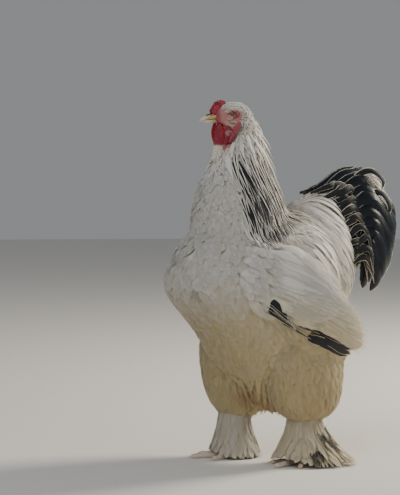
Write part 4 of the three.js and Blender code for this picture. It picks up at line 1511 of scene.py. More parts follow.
class Hackle:
    """The cape of long striped feathers round the neck and over the shoulders."""

    TOP = 636.0
    AXIS_Y = -75.0
    BORDER = ((405, 80), (440, 66), (474, 56), (522, 45), (580, 35), (610, 31), (645, 28))
    HEM = (
        (20, 606), (35, 570), (45, 512), (56, 464), (70, 424), (84, 410), (102, 424), (122, 448), (180, 466),
    )
    STYLE = Style(
        96, 10.5, 9.0, 5.8, pointed, 10, 4, stray=0.05, camber=0.09, spread=0.12, rise=1.4, ragged=0.10,
        loose=2.4, long=3.6,
    )

    @classmethod
    def turn(cls, points: Array) -> Array:
        """How far points are round the neck from its front, in degrees."""
        return np.degrees(np.abs(np.arctan2(points[:, 0], cls.AXIS_Y - points[:, 1])))

    @classmethod
    def opening(cls, z: Array) -> Array:
        """How far the white bib reaches round from the front at heights, in degrees."""
        heights, turns = zip(*cls.BORDER)
        return np.interp(z, heights, turns)

    def hem(self, points: Array) -> Array:
        """The height that the tips reach at points round the neck."""
        turns, heights = zip(*self.HEM)
        return np.interp(self.turn(points), turns, heights)

    def flow(self, points: Array) -> Array:
        """Down the neck, and away from the bib over the shoulders."""
        x, y, z = points[:, 0], points[:, 1] - self.AXIS_Y, points[:, 2]
        outward = unit(xyz(x, y, 0.0))
        rearward = xyz(-outward[:, 1], outward[:, 0], 0.0) * np.sign(x)[:, None]
        drift = 0.34 * smooth(self.turn(points), 130, 50) * smooth(z, 610, 560)
        out = 0.25 * smooth(z, 560, 440)
        return outward * out[:, None] + rearward * drift[:, None] + (0.0, 0.0, -1.0)

    def full(self, points: Array) -> Array:
        """How much higher the feathers rise at the nape."""
        z = points[:, 2]
        return 1 + 0.4 * smooth(self.turn(points), 95, 150) * smooth(z, 520, 565) * smooth(z, 668, 630)

    def build(self, body: Body) -> None:
        """Makes the cape."""
        style = self.STYLE

        def wanted(points: Array, regions: Array) -> Array:
            """Keeps the neck's sides and back."""
            z = points[:, 2]
            high = (z > self.hem(points) + 22) & (z < self.TOP) & (points[:, 1] < 20)
            cape = np.isin(regions, (Region.NECK.value, Region.TRUNK.value, Region.HEAD.value))
            return cape & (self.turn(points) > self.opening(z)) & high

        roots = body.scatter(style, 71, wanted)
        z = roots[:, 2]
        small = mixed(0.42, 1.0, smooth(z, 636, 570))
        tips = body.lay(roots, style, self.flow, 72, small, self.full)[0][:, -1]
        fit = np.clip((z - self.hem(tips)) / np.maximum(z - tips[:, 2], 5.0), 0.30, 1.0)
        spine, normal, width = body.lay(roots, style, self.flow, 72, small * fit, self.full)
        rng = np.random.default_rng(73)
        ink = body.markings.hackle(spine[:, 7])
        rear = smooth(self.turn(roots), 100, 140)
        dyes = {
            "ink": smooth(ink, 0.02, 0.16),
            "lace": np.clip(mixed(0.90, 0.20, ink**0.7) + 0.10 * rng.normal(size=len(roots)), 0.10, 0.94),
            "warm": 0.03 + 0.3 * rear * (0.4 + 0.6 * rng.random(len(roots))),
            "shade": rng.random(len(roots)) * 0.4,
        }
        narrow = width * mixed(0.66, 1.0, smooth(z, 636, 540))
        lot = Feathers(spine, normal, narrow, pointed, style.camber, dyes, body.bake_places(roots))
        coat = Coat("hackle_coat", STRIPED)
        coat.add(Template.cut(10, 4, 1.2), lot, style.ragged, 74)
        coat.finished(body.drawing)


class Tracts:
    """The small feathers of the trunk, the bib, the thighs, the shanks and the head."""

    SADDLE = Style(
        84, 10, 9.0, 5.6, pointed, 9, 4, stray=0.06, camber=0.08, spread=0.12, rise=1.4, loose=2.0, long=3.2,
        hang=0.5,
    )

    def __init__(self, body: Body) -> None:
        """Keeps the body that they grow on."""
        self.body = body

    def flow(self, points: Array) -> Array:
        """Down the breast and thighs, and back along the flanks and the back."""
        x, y, z = points.T
        back = smooth(y, -170, 10) * smooth(z, 190, 330)
        top = smooth(z, 430, 480) * smooth(y, -60, 20)
        return xyz(0.05 * np.sign(x), 0.08 + 0.8 * back + top, -1 + 0.3 * back + 0.4 * top)

    def cover(
        self, name: str, style: Style, seed: int, wanted: Wanted, flow: Flow | None = None,
        shade: float = 0.12, warm: float = 0.0, calm: Share | None = None, blush: float = 0.0,
    ) -> None:
        """Covers part of the skin with small feathers.

        Args:
            name: of the piece.
            style: how the feathers are cut and laid.
            seed: of the random draws.
            wanted: tells which places are covered.
            flow: the lie, where it isn't the body's own.
            shade: how much the feathers differ.
            warm: how much more cream they are.
            calm: how much of the full height they rise at places.
            blush: how much of the bare skin's pink they take on.
        """
        body = self.body
        roots = body.scatter(style, seed, wanted)
        spine, normal, width = body.lay(roots, style, flow or self.flow, seed + 1, calm=calm)
        rng = np.random.default_rng(seed + 2)
        place = spine[:, -2]
        dyes = {
            "bare": np.minimum(blush * body.head.bare(place), 0.85),
            "ink": body.markings.smudge(place),
            "warm": np.maximum(body.markings.warm(place) + warm + 0.06 * rng.normal(size=len(roots)), 0),
            "shade": rng.random(len(roots)) * shade,
        }
        lot = Feathers(spine, normal, width, style.outline, style.camber, dyes, body.bake_places(roots))
        coat = Coat(name, WHITE)
        coat.add(Template.cut(style.rows, style.columns, style.packing), lot, style.ragged, seed)
        if style.barbs:
            coat.fray(lot, style.barbs, seed + 3)
        coat.finished(body.drawing)

    def build(self) -> None:
        """Makes every tract."""
        over_edge = self.body.wings[Side.LEFT].over_edge
        trunk, wing, thigh = Region.TRUNK.value, Region.WING.value, Region.THIGH.value

        def calm(points: Array) -> Array:
            """Keeps the feathers low where the flight feathers lie over them."""
            beside = smooth(np.abs(points[:, 0]), 96, 112) * smooth(points[:, 1], -150, -120)
            return 1 - 0.72 * smooth(over_edge(points), -34, -8) * beside

        def on_flank(points: Array, regions: Array) -> Array:
            """Keeps the trunk behind the breast, and the wing's flesh under the quills."""
            sides = (regions == trunk) & (points[:, 1] >= -90) & (points[:, 2] > 190)
            return sides | ((regions == wing) & (over_edge(points) < 14))

        breast = Style(36, 17, 6.5, 7.0, barbs=6, hang=0.5, stray=0.10, loose=0.5, camber=0.05, packing=1.2)
        fluff = Style(
            40, 13, 10.0, 6.8, wispy, stray=0.26, spread=0.2, ragged=0.3, rise=1.5, barbs=4, hang=0.7
        )
        bib = Style(30, 12, 6.0, 5.6, stray=0.12, barbs=5, packing=1.2)
        fine = Style(22, 6.5, 4.2, 3.8, pointed, stray=0.10, ragged=0.2, long=1.5)
        thighs = Style(40, 14, 7.5, 6.6, stray=0.12, spread=0.18, ragged=0.2, barbs=6, hang=0.5, loose=0.5)
        self.cover("coat_breast", breast, 110, lambda p, r: (r == trunk) & (p[:, 1] < -90) & (p[:, 2] > 190))
        self.cover("coat_flanks", replace(breast, length=38, hang=0.6), 120, on_flank, calm=calm)
        self.cover("coat_belly", fluff, 130, lambda p, r: (r == trunk) & (p[:, 2] <= 190))
        self.cover("coat_bib", bib, 140, lambda p, r: self.on_bib(p, r) & (p[:, 2] < 560), warm=-0.05)
        self.cover(
            "coat_throat", fine, 145, lambda p, r: self.on_bib(p, r) & (p[:, 2] >= 552), self.down, warm=-0.05
        )
        for side in Side:
            self.cover(
                f"coat_thigh_{side.word}", thighs, 150 + side.value,
                lambda p, r, s=side.value: (r == thigh) & (p[:, 0] * s > 0), calm=calm,
            )
        self.saddle()

    def down(self, points: Array) -> Array:
        """Down the neck, and a little round it towards its back."""
        return Hackle().flow(points) + np.array((0.0, 0.25, 0.0))

    def on_bib(self, points: Array, regions: Array) -> Array:
        """Keeps the front and the top of the neck."""
        z = points[:, 2]
        near = (Hackle.turn(points) < Hackle.opening(z) + 9) | (z > 600)
        return (regions == Region.NECK.value) & near & (self.body.head.bare(points) < 0.5)

    def hang(self, points: Array) -> Array:
        """Back and down from the saddle, and outwards over its sides."""
        x, z = points[:, 0], points[:, 2]
        side = np.sign(x) * smooth(np.abs(x), 2, 40)
        return xyz(0.5 * side * smooth(z, 440, 520), 0.60, -0.85 + 0.5 * smooth(z, 480, 525))

    def saddle(self) -> None:
        """The long white feathers that hang over the rump."""
        body, style = self.body, self.SADDLE

        def wanted(points: Array, regions: Array) -> Array:
            """Keeps the rump and the back before it."""
            back = (regions == Region.TRUNK.value) & (points[:, 1] > 0) & (points[:, 2] > 425)
            return (regions == Region.SADDLE.value) | back

        roots = body.scatter(style, 161, wanted, unit(np.array((0, 0.6, -0.8))))
        scale = 1 + 0.28 * smooth(roots[:, 1], 120, 160)
        spine, normal, width = body.lay(roots, style, self.hang, 162, scale)
        rng = np.random.default_rng(163)
        tips = spine[:, -1]
        rear = smooth(tips[:, 1] + 0.30 * (tips[:, 2] - 400), 158, 186) * smooth(tips[:, 2], 470, 430)
        marked = (rear > rng.random(len(roots)) * 0.9).astype(float)
        dyes = {
            "ink": marked * 0.8,
            "lace": 0.45 + 0.15 * rng.random(len(roots)),
            "warm": 0.05 + 0.35 * smooth(roots[:, 2], 430, 330) + 0.5 * marked,
            "shade": rng.random(len(roots)) * 0.2,
        }
        lot = Feathers(spine, normal, width, pointed, style.camber, dyes, body.bake_places(roots))
        coat = Coat("saddle_coat", STRIPED)
        coat.add(Template.cut(9, 4, 1.2), lot, 0.1, 164)
        coat.finished(body.drawing)


@dataclass(frozen=True)
class Plume:
    """One curved feather of the tail: the points of its middle line, its width and its dyes."""

    width: float
    path: Sequence[Sequence[float]] | Array
    lace: float = 0.0
    ink: float = 1.0
    warm: float = 0.1


class Tail:
    """The short black tail: its main feathers, the curved ones over them and laced coverts."""

    HUB = np.array((0.0, 148.0, 428.0))
    MAIN = 8
    STEEPEST, LOWEST = 84.0, -34.0
    LENGTH, WIDTH = 112.0, 46.0
    ROOTS = ((4, 96, 520), (16, 116, 502), (32, 130, 470), (46, 140, 435), (56, 148, 400), (60, 152, 372))
    CRESTS = ((8, 172, 546), (28, 190, 536), (48, 196, 512), (62, 196, 476), (70, 190, 436), (72, 182, 404))
    FALLS = ((22, 226, 540), (44, 240, 504), (60, 238, 464), (70, 228, 426), (74, 214, 390), (72, 198, 362))
    ENDS = ((38, 246, 496), (54, 250, 450), (64, 240, 406), (70, 224, 372), (72, 208, 344), (66, 192, 322))
    CURVED = 10
    CURL = (
        # The first curled feather is dyed pale buff and barely inked: painted light, for sun shining through
        # its curled underside.
        Plume(13, ((30, 196, 516), (34, 214, 536), (40, 224, 532), (44, 222, 518)), 0.0, 0.25, 1.9),
        Plume(15, ((14, 150, 500), (24, 184, 546), (34, 214, 558), (46, 234, 540), (50, 228, 520)), 0.22),
        Plume(15, ((30, 176, 488), (48, 206, 514), (58, 226, 512), (64, 238, 488), (62, 234, 472)), 0.10),
    )

    def feather(
        self, body: Body, coat: Coat, plume: Plume, side: Side, seed: int, outline: Callable[[Array], Array]
    ) -> None:
        """Adds one feather along a path.

        Args:
            body: gives the baking place.
            coat: the coat that it joins.
            plume: the feather.
            side: of the tail.
            seed: of its frayed edges.
            outline: its cut.
        """
        spine = Curve(np.array(plume.path) * (side.value, 1, 1)).at(np.linspace(0, 1, 25))
        tangent = unit(np.gradient(spine, axis=0))
        outward = unit(np.array((side.value * 1.0, 0.15, 0.30)))
        normal = unit(outward - tangent * (tangent @ outward)[:, None])
        shade = np.random.default_rng(seed).random()
        dyes = {"ink": plume.ink, "lace": plume.lace, "warm": plume.warm, "shade": shade}
        root = body.bake_places(spine[:1]) + (seed % 7 - 3) * BAKE_PATCH
        lot = Feathers(spine[None], normal[None], np.array([plume.width]), outline, 0.16, dyes, root)
        coat.add(Template.cut(24, 8, 1.15), lot, 0.16, seed)

    def build(self, body: Body) -> None:
        """Makes the tail."""
        coat = Coat("tail_coat", BLACK)
        steps = np.array((0.16, 0.5, 0.8, 1.0))
        bow = xyz(3 + 8 * steps, 0.0, -10 * steps * steps)
        for side in Side:
            for i, share in enumerate(np.linspace(0, 1, self.MAIN)):
                steep = math.radians(self.STEEPEST + (self.LOWEST - self.STEEPEST) * share)
                spread = math.radians(3 + 16 * share)
                flat = math.cos(spread)
                along = np.array((math.sin(spread), flat * math.cos(steep), flat * math.sin(steep)))
                reach = self.LENGTH * (0.94 + 0.08 * math.sin(math.pi * share))
                path = self.HUB + np.outer(steps, along) * reach + bow
                self.feather(body, coat, Plume(self.WIDTH, path), side, 200 + i, broad)
            rng = np.random.default_rng(210)
            lines = (self.ROOTS, self.CRESTS, self.FALLS, self.ENDS)
            for layer, (inward, width) in enumerate(((0.62, 44.0), (1.0, 40.0))):
                for i, share in enumerate(np.linspace(0.02 + 0.03 * layer, 1, self.CURVED)):
                    path = np.stack([Curve(line).at(share) for line in lines])
                    path = path + rng.normal(size=path.shape) * (1.0, 2.0, 2.5)
                    path[:, 0] = np.maximum(path[:, 0] * inward, 2.0)
                    path[2:, 1:] -= (1 - inward) * np.array((4.0, -12.0))
                    size = width * (1.05 - 0.25 * share) * (1 + 0.08 * rng.normal())
                    self.feather(body, coat, Plume(size, path, 0.03), side, 220 + 40 * layer + i, scythe)
        coat.finished(body.drawing)
        self.laced(body)

    def laced(self, body: Body) -> None:
        """Makes the small dark coverts with pale edges, where the saddle meets the tail."""
        coat = Coat("tail_coverts", STRIPED)
        rng = np.random.default_rng(260)
        for number, plume in enumerate(self.CURL):
            self.feather(body, coat, plume, Side.LEFT, 250 + number, scythe)
        for side in Side:
            for layer in range(2):
                for i, share in enumerate(np.linspace(0.10, 1, 9)):
                    root, top, fall = (Curve(c).at(share) for c in (self.ROOTS, self.CRESTS, self.FALLS))
                    start = root + (6.0 + 5 * layer, -26 + 12 * layer, 2.0)
                    crest = mixed(root, top, 0.55) + (12.0 + 3 * layer, -8 + 10 * layer, 0)
                    fall = mixed(crest, fall, 0.45) + (6.0, -6, -20 - 16 * share)
                    path = np.stack((start, mixed(start, crest, 0.55) + (3, 0, 5), crest, fall))
                    path = path + rng.normal(size=path.shape) * 3.2
                    width, lace = 15.0 + 2 * rng.normal(), 0.05 + 0.10 * rng.random()
                    plume = Plume(width, path, lace, 1.0, 0.4 * share + 0.2)
                    self.feather(body, coat, plume, side, 270 + 20 * layer + i, pointed)
        coat.finished(body.drawing)


@dataclass(frozen=True)
class Toe:
    """One toe: where it points from the ankle, and its size as a share of the middle one."""

    name: str
    turn: float
    length: float
    girth: float


TOES = (
    Toe("inner", -34, 0.74, 0.9),
    Toe("middle", 0, 1.0, 1.0),
    Toe("outer", 32, 0.8, 0.88),
    Toe("back", 172, 0.4, 0.8),
)


@dataclass(frozen=True)
class Skirt:
    """One row of feathers that hang round the shank: its roots' and tips' heights and its reach."""

    count: int
    top: float
    hem: float
    over: float  # how far it lies over the bell that all the rows follow
    width: float
    dark: tuple[tuple[float, float], ...] = ()  # where the left foot's are dark, in degrees from the toes


@dataclass
class Leg:
    """A feathered shank and foot, with toes and claws."""

    side: Side
    toe_out: float = 17.0
    middle_toe: float = 88.0
    girth: float = 7.4
    claw: float = 15.0
    shaft: float = 19.0
    toe_cover: float = 13.0
    bell: float = 132.0  # how high the feathers start to spread
    bell_power: float = 2.3
    scales: float = 17.0  # of the middle toe

    SPREAD_LEFT = (
        (-180, 56), (-120, 44), (-60, 56), (-34, 70), (0, 84), (32, 78), (60, 82), (90, 96), (108, 110),
        (135, 92), (180, 56),
    )
    SPREAD_RIGHT = (
        (-180, 54), (-120, 44), (-60, 44), (0, 54), (40, 56), (80, 70), (112, 76), (145, 66), (180, 54),
    )
    SKIRTS = (
        Skirt(66, 34, 1.0, 0.0, 13, ((50, 64),)),
        Skirt(66, 44, 3.5, 0.8, 13, ((52, 74),)),
        Skirt(64, 56, 9, 1.6, 13),
        Skirt(62, 68, 16, 2.4, 13, ((94, 104),)),
        Skirt(60, 80, 25, 3.2, 12.5, ((82, 114),)),
        Skirt(58, 94, 35, 4.0, 12.5, ((84, 116),)),
        Skirt(56, 108, 47, 4.8, 12),
        Skirt(52, 120, 60, 5.6, 12),
    )

    def direction(self, turn: Array | float) -> Array:
        """The way that a toe or feather points on the floor."""
        angle = self.side.value * np.radians(self.toe_out + np.asarray(turn, float))
        return xyz(np.sin(angle), -np.cos(angle), 0.0)

    def build_toe(self, body: Body, bm: bmesh.types.BMesh, toe: Toe) -> Array:
        """Adds one scaly toe.

        Args:
            body: gives the ankle.
            bm: the mesh that it joins.
            toe: the toe.

        Returns:
            How deep in a joint between two scales each vertex lies.
        """
        made = ball(bm, 28, 96)
        share, angle, poles = rounds(np.array([v.co for v in made]))
        wide = self.girth * toe.girth
        ahead = self.direction(toe.turn)
        upper = smooth(np.sin(angle), -0.1, 0.5)
        groove = smooth(np.abs((share * self.scales * toe.length) % 1.0 - 0.5), 0.36, 0.5) * upper
        pads = 1 + 0.08 * np.cos(6 * math.pi * share + 2.6) * (1 - upper)
        radius = wide * (1 - 0.32 * share) * (1 + 0.10 * np.cos(6 * math.pi * share))
        for end in ((share - 0.92) / 0.08, (0.06 - share) / 0.06):
            radius = radius * np.sqrt(np.maximum(1 - end.clip(0, 1) ** 2, 0))
        radius = np.where(poles, 0.0, radius * (1 - 0.07 * groove) * pads)
        across = np.outer(np.cos(angle) * radius, np.cross((0, 0, 1.0), ahead))
        points = body.ankle(self.side) + np.outer(share * self.middle_toe * toe.length, ahead) + across
        points[:, 2] = np.maximum(wide * 0.8 * (1 - 0.24 * share) + np.sin(angle) * radius * 0.92, 0.15)
        place_vertices(made, lambda _: points)
        return groove

    def build_claw(self, body: Body, toe: Toe) -> None:
        """Makes the curved claw of one toe: a cone bent down, and narrow from side to side."""
        bm = bmesh.new()
        bmesh.ops.create_cone(bm, cap_ends=True, segments=20, radius1=1.0, radius2=0.05, depth=1.0)
        long_edges = [e for e in bm.edges if abs(e.verts[0].co.z - e.verts[1].co.z) > 0.5]
        bmesh.ops.subdivide_edges(bm, edges=long_edges, cuts=12, use_grid_fill=True)
        ahead = self.direction(toe.turn)
        thick = self.girth * toe.girth * 0.5
        start = body.ankle(self.side) + ahead * (self.middle_toe * toe.length * 0.9)
        x, y, z = np.array([v.co for v in bm.verts]).T
        out = (z + 0.5).clip(0, 1)
        reach = out * (self.claw + 1.5)
        points = start + np.outer(reach, ahead) + np.outer(x * thick * 0.9, np.cross((0, 0, 1.0), ahead))
        points[:, 2] = np.maximum(thick * 1.2 + 1.2 + y * thick * 1.15 - 0.016 * reach**2, 0.1)
        place_vertices(bm.verts, lambda _: points)
        outward(bm)
        end = f"{toe.name}_{self.side.word}"
        dyes = {"ink": out * 0.28, "warm": np.full(len(out), 0.6)}
        add_piece(body.drawing, f"claw_horn_{end}", bm, Horn("claw_horn"), f"claw_{end}", **dyes)

    def skirt(self, body: Body, coat: Coat, spec: Skirt, seed: int) -> None:
        """Adds one row of feathers that hang round the shank and spread over the foot.

        Args:
            body: gives the ankle and the baking places.
            coat: the coat that they join.
            spec: how they are cut and laid.
            seed: of their small differences.
        """
        rng = np.random.default_rng(seed)
        left = self.side is Side.LEFT
        turn = np.linspace(-180, 180, spec.count, endpoint=False) + 4 * rng.normal(size=spec.count)
        size = (1 + 0.06 * rng.normal(size=spec.count)).clip(0.88, 1.05)
        turns, spreads = zip(*(self.SPREAD_LEFT if left else self.SPREAD_RIGHT))
        reach = (np.interp(turn, turns, spreads) * size)[:, None]
        over_toes = self.toe_cover * np.exp(-((turn / 42) ** 2)) * (spec.hem < self.toe_cover)
        hem = spec.hem + over_toes + min(spec.hem, 13.0) * rng.random(spec.count)
        hem = (hem + 2.0 * rng.random(spec.count))[:, None]
        root = (spec.top + 7 * rng.normal(size=spec.count))[:, None]
        t = np.linspace(0, 1, 11)[None, :]
        height = hem + (root - hem) * (1 - t) ** 1.15
        spread = (1 - height / self.bell).clip(0, 1) ** self.bell_power
        out = mixed(self.shaft, reach, spread) + mixed(-7.0, 2.0 + spec.over, np.minimum(1, 2.5 * t))
        ahead = self.direction(turn)[:, None]
        sideways = np.cross(ahead, (0, 0, 1.0))
        spine = body.ankle(self.side) + ahead * out[..., None]
        spine = spine + sideways * (rng.normal(size=spec.count)[:, None, None] * 3 * t[..., None] ** 2)
        spine[..., 2] = np.maximum(height - body.drawing.shift[2], 0.8)
        normal = unit(np.cross(sideways, unit(np.gradient(spine, axis=1))))
        dark = np.zeros(spec.count)
        for first, last in spec.dark if left else ():
            dark = np.maximum(dark, (turn > first) & (turn < last))
        dyes = {
            "ink": dark,
            "lace": np.where(dark > 0, 0.12, 0.5),
            "warm": (0.52 if left else 0.32) + 0.16 * rng.random(spec.count) + 0.4 * dark,
            "shade": 0.10 * rng.random(spec.count),
        }
        lot = Feathers(spine, normal, spec.width * size, pointed, 0.05, dyes, body.bake_places(spine[:, 0]))
        coat.add(Template.cut(9, 4, 1.2), lot, 0.15, seed)
        coat.fray(lot, 4, seed + 1)

    def build(self, body: Body) -> None:
        """Makes the leg's toes, claws and feathers."""
        word = self.side.word
        bm = bmesh.new()
        grooves = np.concatenate([self.build_toe(body, bm, toe) for toe in TOES])
        add_piece(body.drawing, f"toes_{word}", bm, Scutes(), f"foot_{word}", ink=grooves)
        for toe in TOES:
            self.build_claw(body, toe)
        coat = Coat(f"foot_feathers_{word}", WHITE)
        for number, spec in enumerate(self.SKIRTS):
            self.skirt(body, coat, spec, 300 + 10 * number + self.side.value)
        coat.finished(body.drawing)
        self.fluff(body)

    def fluff(self, body: Body) -> None:
        """The small feathers of the shank, which point down and a little outwards."""
        middle, sign = body.ankle(self.side), self.side.value

        def flow(points: Array) -> Array:
            """Down the shank, and outwards near the toes."""
            away = unit((points - middle) * (1, 1, 0))
            return away * (0.15 + 0.7 * smooth(points[:, 2], 60, 15))[:, None] + (0, 0, -1.0)

        def wanted(points: Array, regions: Array) -> Array:
            """Keeps this leg's shank."""
            return (regions == Region.SHANK.value) & (points[:, 0] * sign > 0)

        style = Style(30, 12, 7.0, 6.0, rounded, 5, 2, stray=0.16, ragged=0.25, rise=1.3, barbs=4)
        Tracts(body).cover(f"coat_shank_{self.side.word}", style, 360 + sign, wanted, flow)


class Head:
    """The head: its flesh and bare face, eyes and lids, beak, comb, wattles and ear lobes."""

    MIDDLE = np.array((0.0, -98.0, 667.0))  # midway between the eyes
    TURN = math.radians(-15)
    EYE_OUT = 15.2
    EYE_RADIUS = 7.2
    BEAK_ROOT = np.array((0.0, -24.0, -4.0))
    CRIMSON_TOP = ((-36, -7), (-26, -14), (-14, -21), (0, -25), (14, -17), (22, -15))  # its edge's y and z
    LOBE_TOP = (12.5, -15.0)  # the y and z of the lobe's top, and how far it is drawn forward over its drop
    LOBE_DRAW = 19.0
    LOBE_DROP = 40.0
    RIDGE = ((-35.0, 3.5), (-28.0, 11.5), (-19.5, 18.5), (-11.0, 21.5))  # the y and z of the comb's middle
    IRIS = 5.4  # how wide the iris's edge is
    DEPTH = 1.2  # how deep the flesh lies under the skull's slices
    SKULL = (
        (-38, 9, 10, 12, 8), (-31, 15, 19, 26, 6), (-18, 19.5, 29, 33, 2), (-5, 21, 33, 35),
        (7, 20, 31, 34, 1), (17, 15.5, 24, 28, 4), (23, 7, 12, 14, 8),
    )
    UPPER = (
        (-3, 8.0, 6.0, 7.4, -1), (4, 8.2, 6.0, 7.4, -1), (12, 7.6, 5.6, 6.9, -1.1), (20, 6.1, 4.6, 5.6, -2),
        (28, 4.1, 3.5, 3.9, -4.1), (34, 2.0, 2.3, 2.0, -7.3), (36.6, 0.4, 0.5, 0.4, -9.6),
    )
    LOWER = (
        (-3, 6.3, 3.4, 4.6, -9.5), (6, 6.0, 3.2, 4.2, -9.5), (14, 5.1, 2.8, 3.4, -9.6),
        (22, 3.5, 2.1, 2.3, -9.8), (27, 2.0, 1.3, 1.4, -10.0), (29.4, 0.4, 0.3, 0.4, -10.1),
    )
    LUMPS = (  # of the left cheek, brow and throat: their places, their radii and their tilt
        ((11.5, -20, -12), (6.5, 11.5, 6.5), 0.0), ((13.0, -5, 9.5), (6.0, 13, 3.6), 0.0),
        ((14.5, -5, -11), (5.8, 12, 4.0), 0.0), ((18.5, 9, -15), (3.6, 6.5, 10.0), -0.25),
        ((5.5, -19, -27), (4.2, 9, 8), 0.0), ((10.0, -5, -30), (6.5, 15, 12), 0.0),
        ((8.5, -4, -45), (7.0, 12, 12), -0.2),
    )

    def __init__(self) -> None:
        """Makes the skull's form, round the point midway between the eyes."""
        self.form = Form(self.SKULL).shrunk(self.DEPTH)

    def world(self, points: Array) -> Array:
        """Places round the head's own middle, in the drawing."""
        return turned(points, self.TURN) + self.MIDDLE

    def local(self, points: Array) -> Array:
        """Places of the drawing, round the head's own middle."""
        return turned(points - self.MIDDLE, -self.TURN)

    def distance(self, points: Array) -> Array:
        """About how far points are from the head's flesh."""
        return self.form.distance(self.local(points))

    def side_at(self, y: Array, z: Array) -> Array:
        """How far out the skull's side is at (y, z) round the head's middle."""
        rows = self.form.rows_at(z)
        middle, half = rows[..., 1], rows[..., 3]
        power = self.form.squareness
        level = (np.abs(y - middle) / np.where(y < middle, rows[..., 4], rows[..., 5])).clip(0, 0.98)
        return half * (1 - level**power) ** (1 / power)

    def bare(self, points: Array) -> Array:
        """How bare the skin is: 0 under feathers, about 0.5 where it is pink, and 1 where crimson."""
        x, y, z = self.local(points).T
        beside = smooth(np.abs(x), 4, 10)
        front_to_back, upper = zip(*self.CRIMSON_TOP)
        lobe = self.LOBE_TOP[0] - self.LOBE_DRAW * (self.LOBE_TOP[1] - z) / self.LOBE_DROP
        crimson = smooth(z - np.interp(y, front_to_back, upper), 3.0, -2.0) * smooth(y - lobe, 9, 4)
        patch = smooth(np.hypot((y + 6) / 9, (z + 36) / 6), 1.25, 0.6) * beside
        crimson = crimson * smooth(z, -62, -55) * (1 - 0.45 * patch)
        eye = 0.78 * smooth(np.hypot((y - 2) / 13.5, (z + 0.8) / 9.5), 1.12, 0.85) * beside
        lores = (0.44 + 0.36 * smooth(y, -16, -28)) * smooth(y, -2, -13)
        lores = lores * smooth(z, 16, 8) * smooth(z, -30, -22)
        cheek = 0.5 * smooth(y, 24, 14) * smooth(z, 7, -2) * smooth(z, -34, -28)
        strip = mixed(8.5, 3.5, smooth(z, -50, -92))
        throat = 0.56 * smooth(x, 2, 6) * smooth(np.abs(y + 12), strip, strip - 3.5)
        throat = throat * smooth(z, -98, -86) * smooth(z, -48, -56)
        return np.maximum.reduce((eye, lores, cheek, crimson, throat))

    @staticmethod
    def lump(bm: bmesh.types.BMesh, place: Sequence[float], radii: Sequence[float], tilt: float = 0) -> None:
        """Adds a ball stretched along three axes, and tipped forward by an angle."""
        turn = Matrix.Rotation(tilt, 4, "X")
        matrix = Matrix.Translation(place) @ turn @ Matrix.Diagonal((*radii, 1.0))
        bmesh.ops.create_uvsphere(bm, u_segments=32, v_segments=20, radius=1.0, matrix=matrix)

    def flesh(self, voxel: float) -> bmesh.types.BMesh:
        """The flesh of the head in fine faces, with brows, cheeks, throat and folds.

        Args:
            voxel: the size of the faces.

        Returns:
            The mesh, in the drawing.
        """
        bm = bmesh.new()
        self.form.build(bm, 48, 36)
        for side in Side:
            for (x, y, z), radii, tilt in self.LUMPS:
                self.lump(bm, (side.value * x, y, z), radii, tilt)
        for z in range(-34, -84, -7):
            drop = (-34 - z) / 50
            self.lump(bm, (2 + 3 * drop, -14 - 12 * drop, z), (10 - 5 * drop, 16 - 4 * drop, 7))
        skin = remeshed(bm, voxel, 3)

        def fold(points: Array) -> Array:
            """Raises fine folds round the eyes and down the throat."""
            x, y, z = points.T
            out = np.hypot(y / 1.25, z)
            beside = smooth(np.abs(x), 8, 14)
            ring = 0.45 * np.sin(out * 2.2) * smooth(out, 15, 9) * smooth(out, 5.5, 7) * beside
            pleat = 0.5 * np.sin(x * 1.5 + 0.4 * np.sin(z * 0.35)) * smooth(z, -26, -36) * smooth(y, 2, -8)
            grain = 0.28 * np.sin(y * 1.9 + 2 * np.sin(z * 0.8)) * np.sin(z * 2.1 + x) * smooth(y, 8, -6)
            amount = ring + pleat + grain * smooth(z, 14, 4)
            return self.world(points + np.array([v.normal for v in skin.verts]) * amount[:, None])

        place_vertices(skin.verts, fold)
        outward(skin)
        return skin

    def build_eye(self, drawing: Drawing, side: Side) -> None:
        """Makes an eyeball: its pole is turned outwards and its cornea swells."""
        bm = bmesh.new()
        x, y, z = np.array([v.co for v in ball(bm, 48, 40)]).T
        ahead = np.where(z > 0, np.hypot(x, y), 2.0)
        radius = self.EYE_RADIUS + 0.35 * smooth(ahead, 0.75, 0.3) - 0.15
        places = self.world(xyz(side.value * (z * radius + self.EYE_OUT), x * radius, y * radius))
        place_vertices(bm.verts, lambda _: places)
        outward(bm)
        shade = ahead * self.EYE_RADIUS / self.IRIS
        add_piece(drawing, f"eyeball_{side.word}", bm, EyeFinish(), f"eye_{side.word}", shade=shade)

    def build_lids(self, drawing: Drawing, side: Side) -> None:
        """Makes the two lids round an eye."""
        bm = bmesh.new()
        bmesh.ops.create_grid(bm, x_segments=72, y_segments=14, size=1.0)

        def ring(points: Array) -> Array:
            """Rolls the sheet into a ring whose hole is the slit between the lids."""
            angle = math.pi * (points[:, 0] + 1)
            out = (points[:, 1] + 1) / 2
            c, s = np.cos(angle), np.sin(angle)
            y = mixed(6.3 * c * (1 + 0.06 * np.abs(c) ** 3), 11.0 * c, out)
            z = mixed(np.where(s > 0, 4.3, 4.0) * s, np.where(s > 0, 8.2, 8.6) * s, out)
            rim = self.EYE_RADIUS + 0.9 * smooth(out, 0.0, 0.12)
            globe = self.EYE_OUT + np.sqrt(np.maximum(rim**2 - y**2 - z**2, 0.5))
            fold = 0.42 * np.sin(out * 17.0) * smooth(out, 0.1, 0.3) * smooth(out, 1.0, 0.8)
            fold = fold * (1 + 0.4 * np.sin(angle * 9))
            edge = 0.5 * smooth(out, 0.0, 0.1) * smooth(out, 0.3, 0.1) - 1.4 * smooth(out, 0.86, 1.0)
            x = mixed(globe, self.side_at(y, z) + 0.5, smooth(out, 0.12, 0.72)) + fold + edge
            return self.world(xyz(side.value * x, y, z))

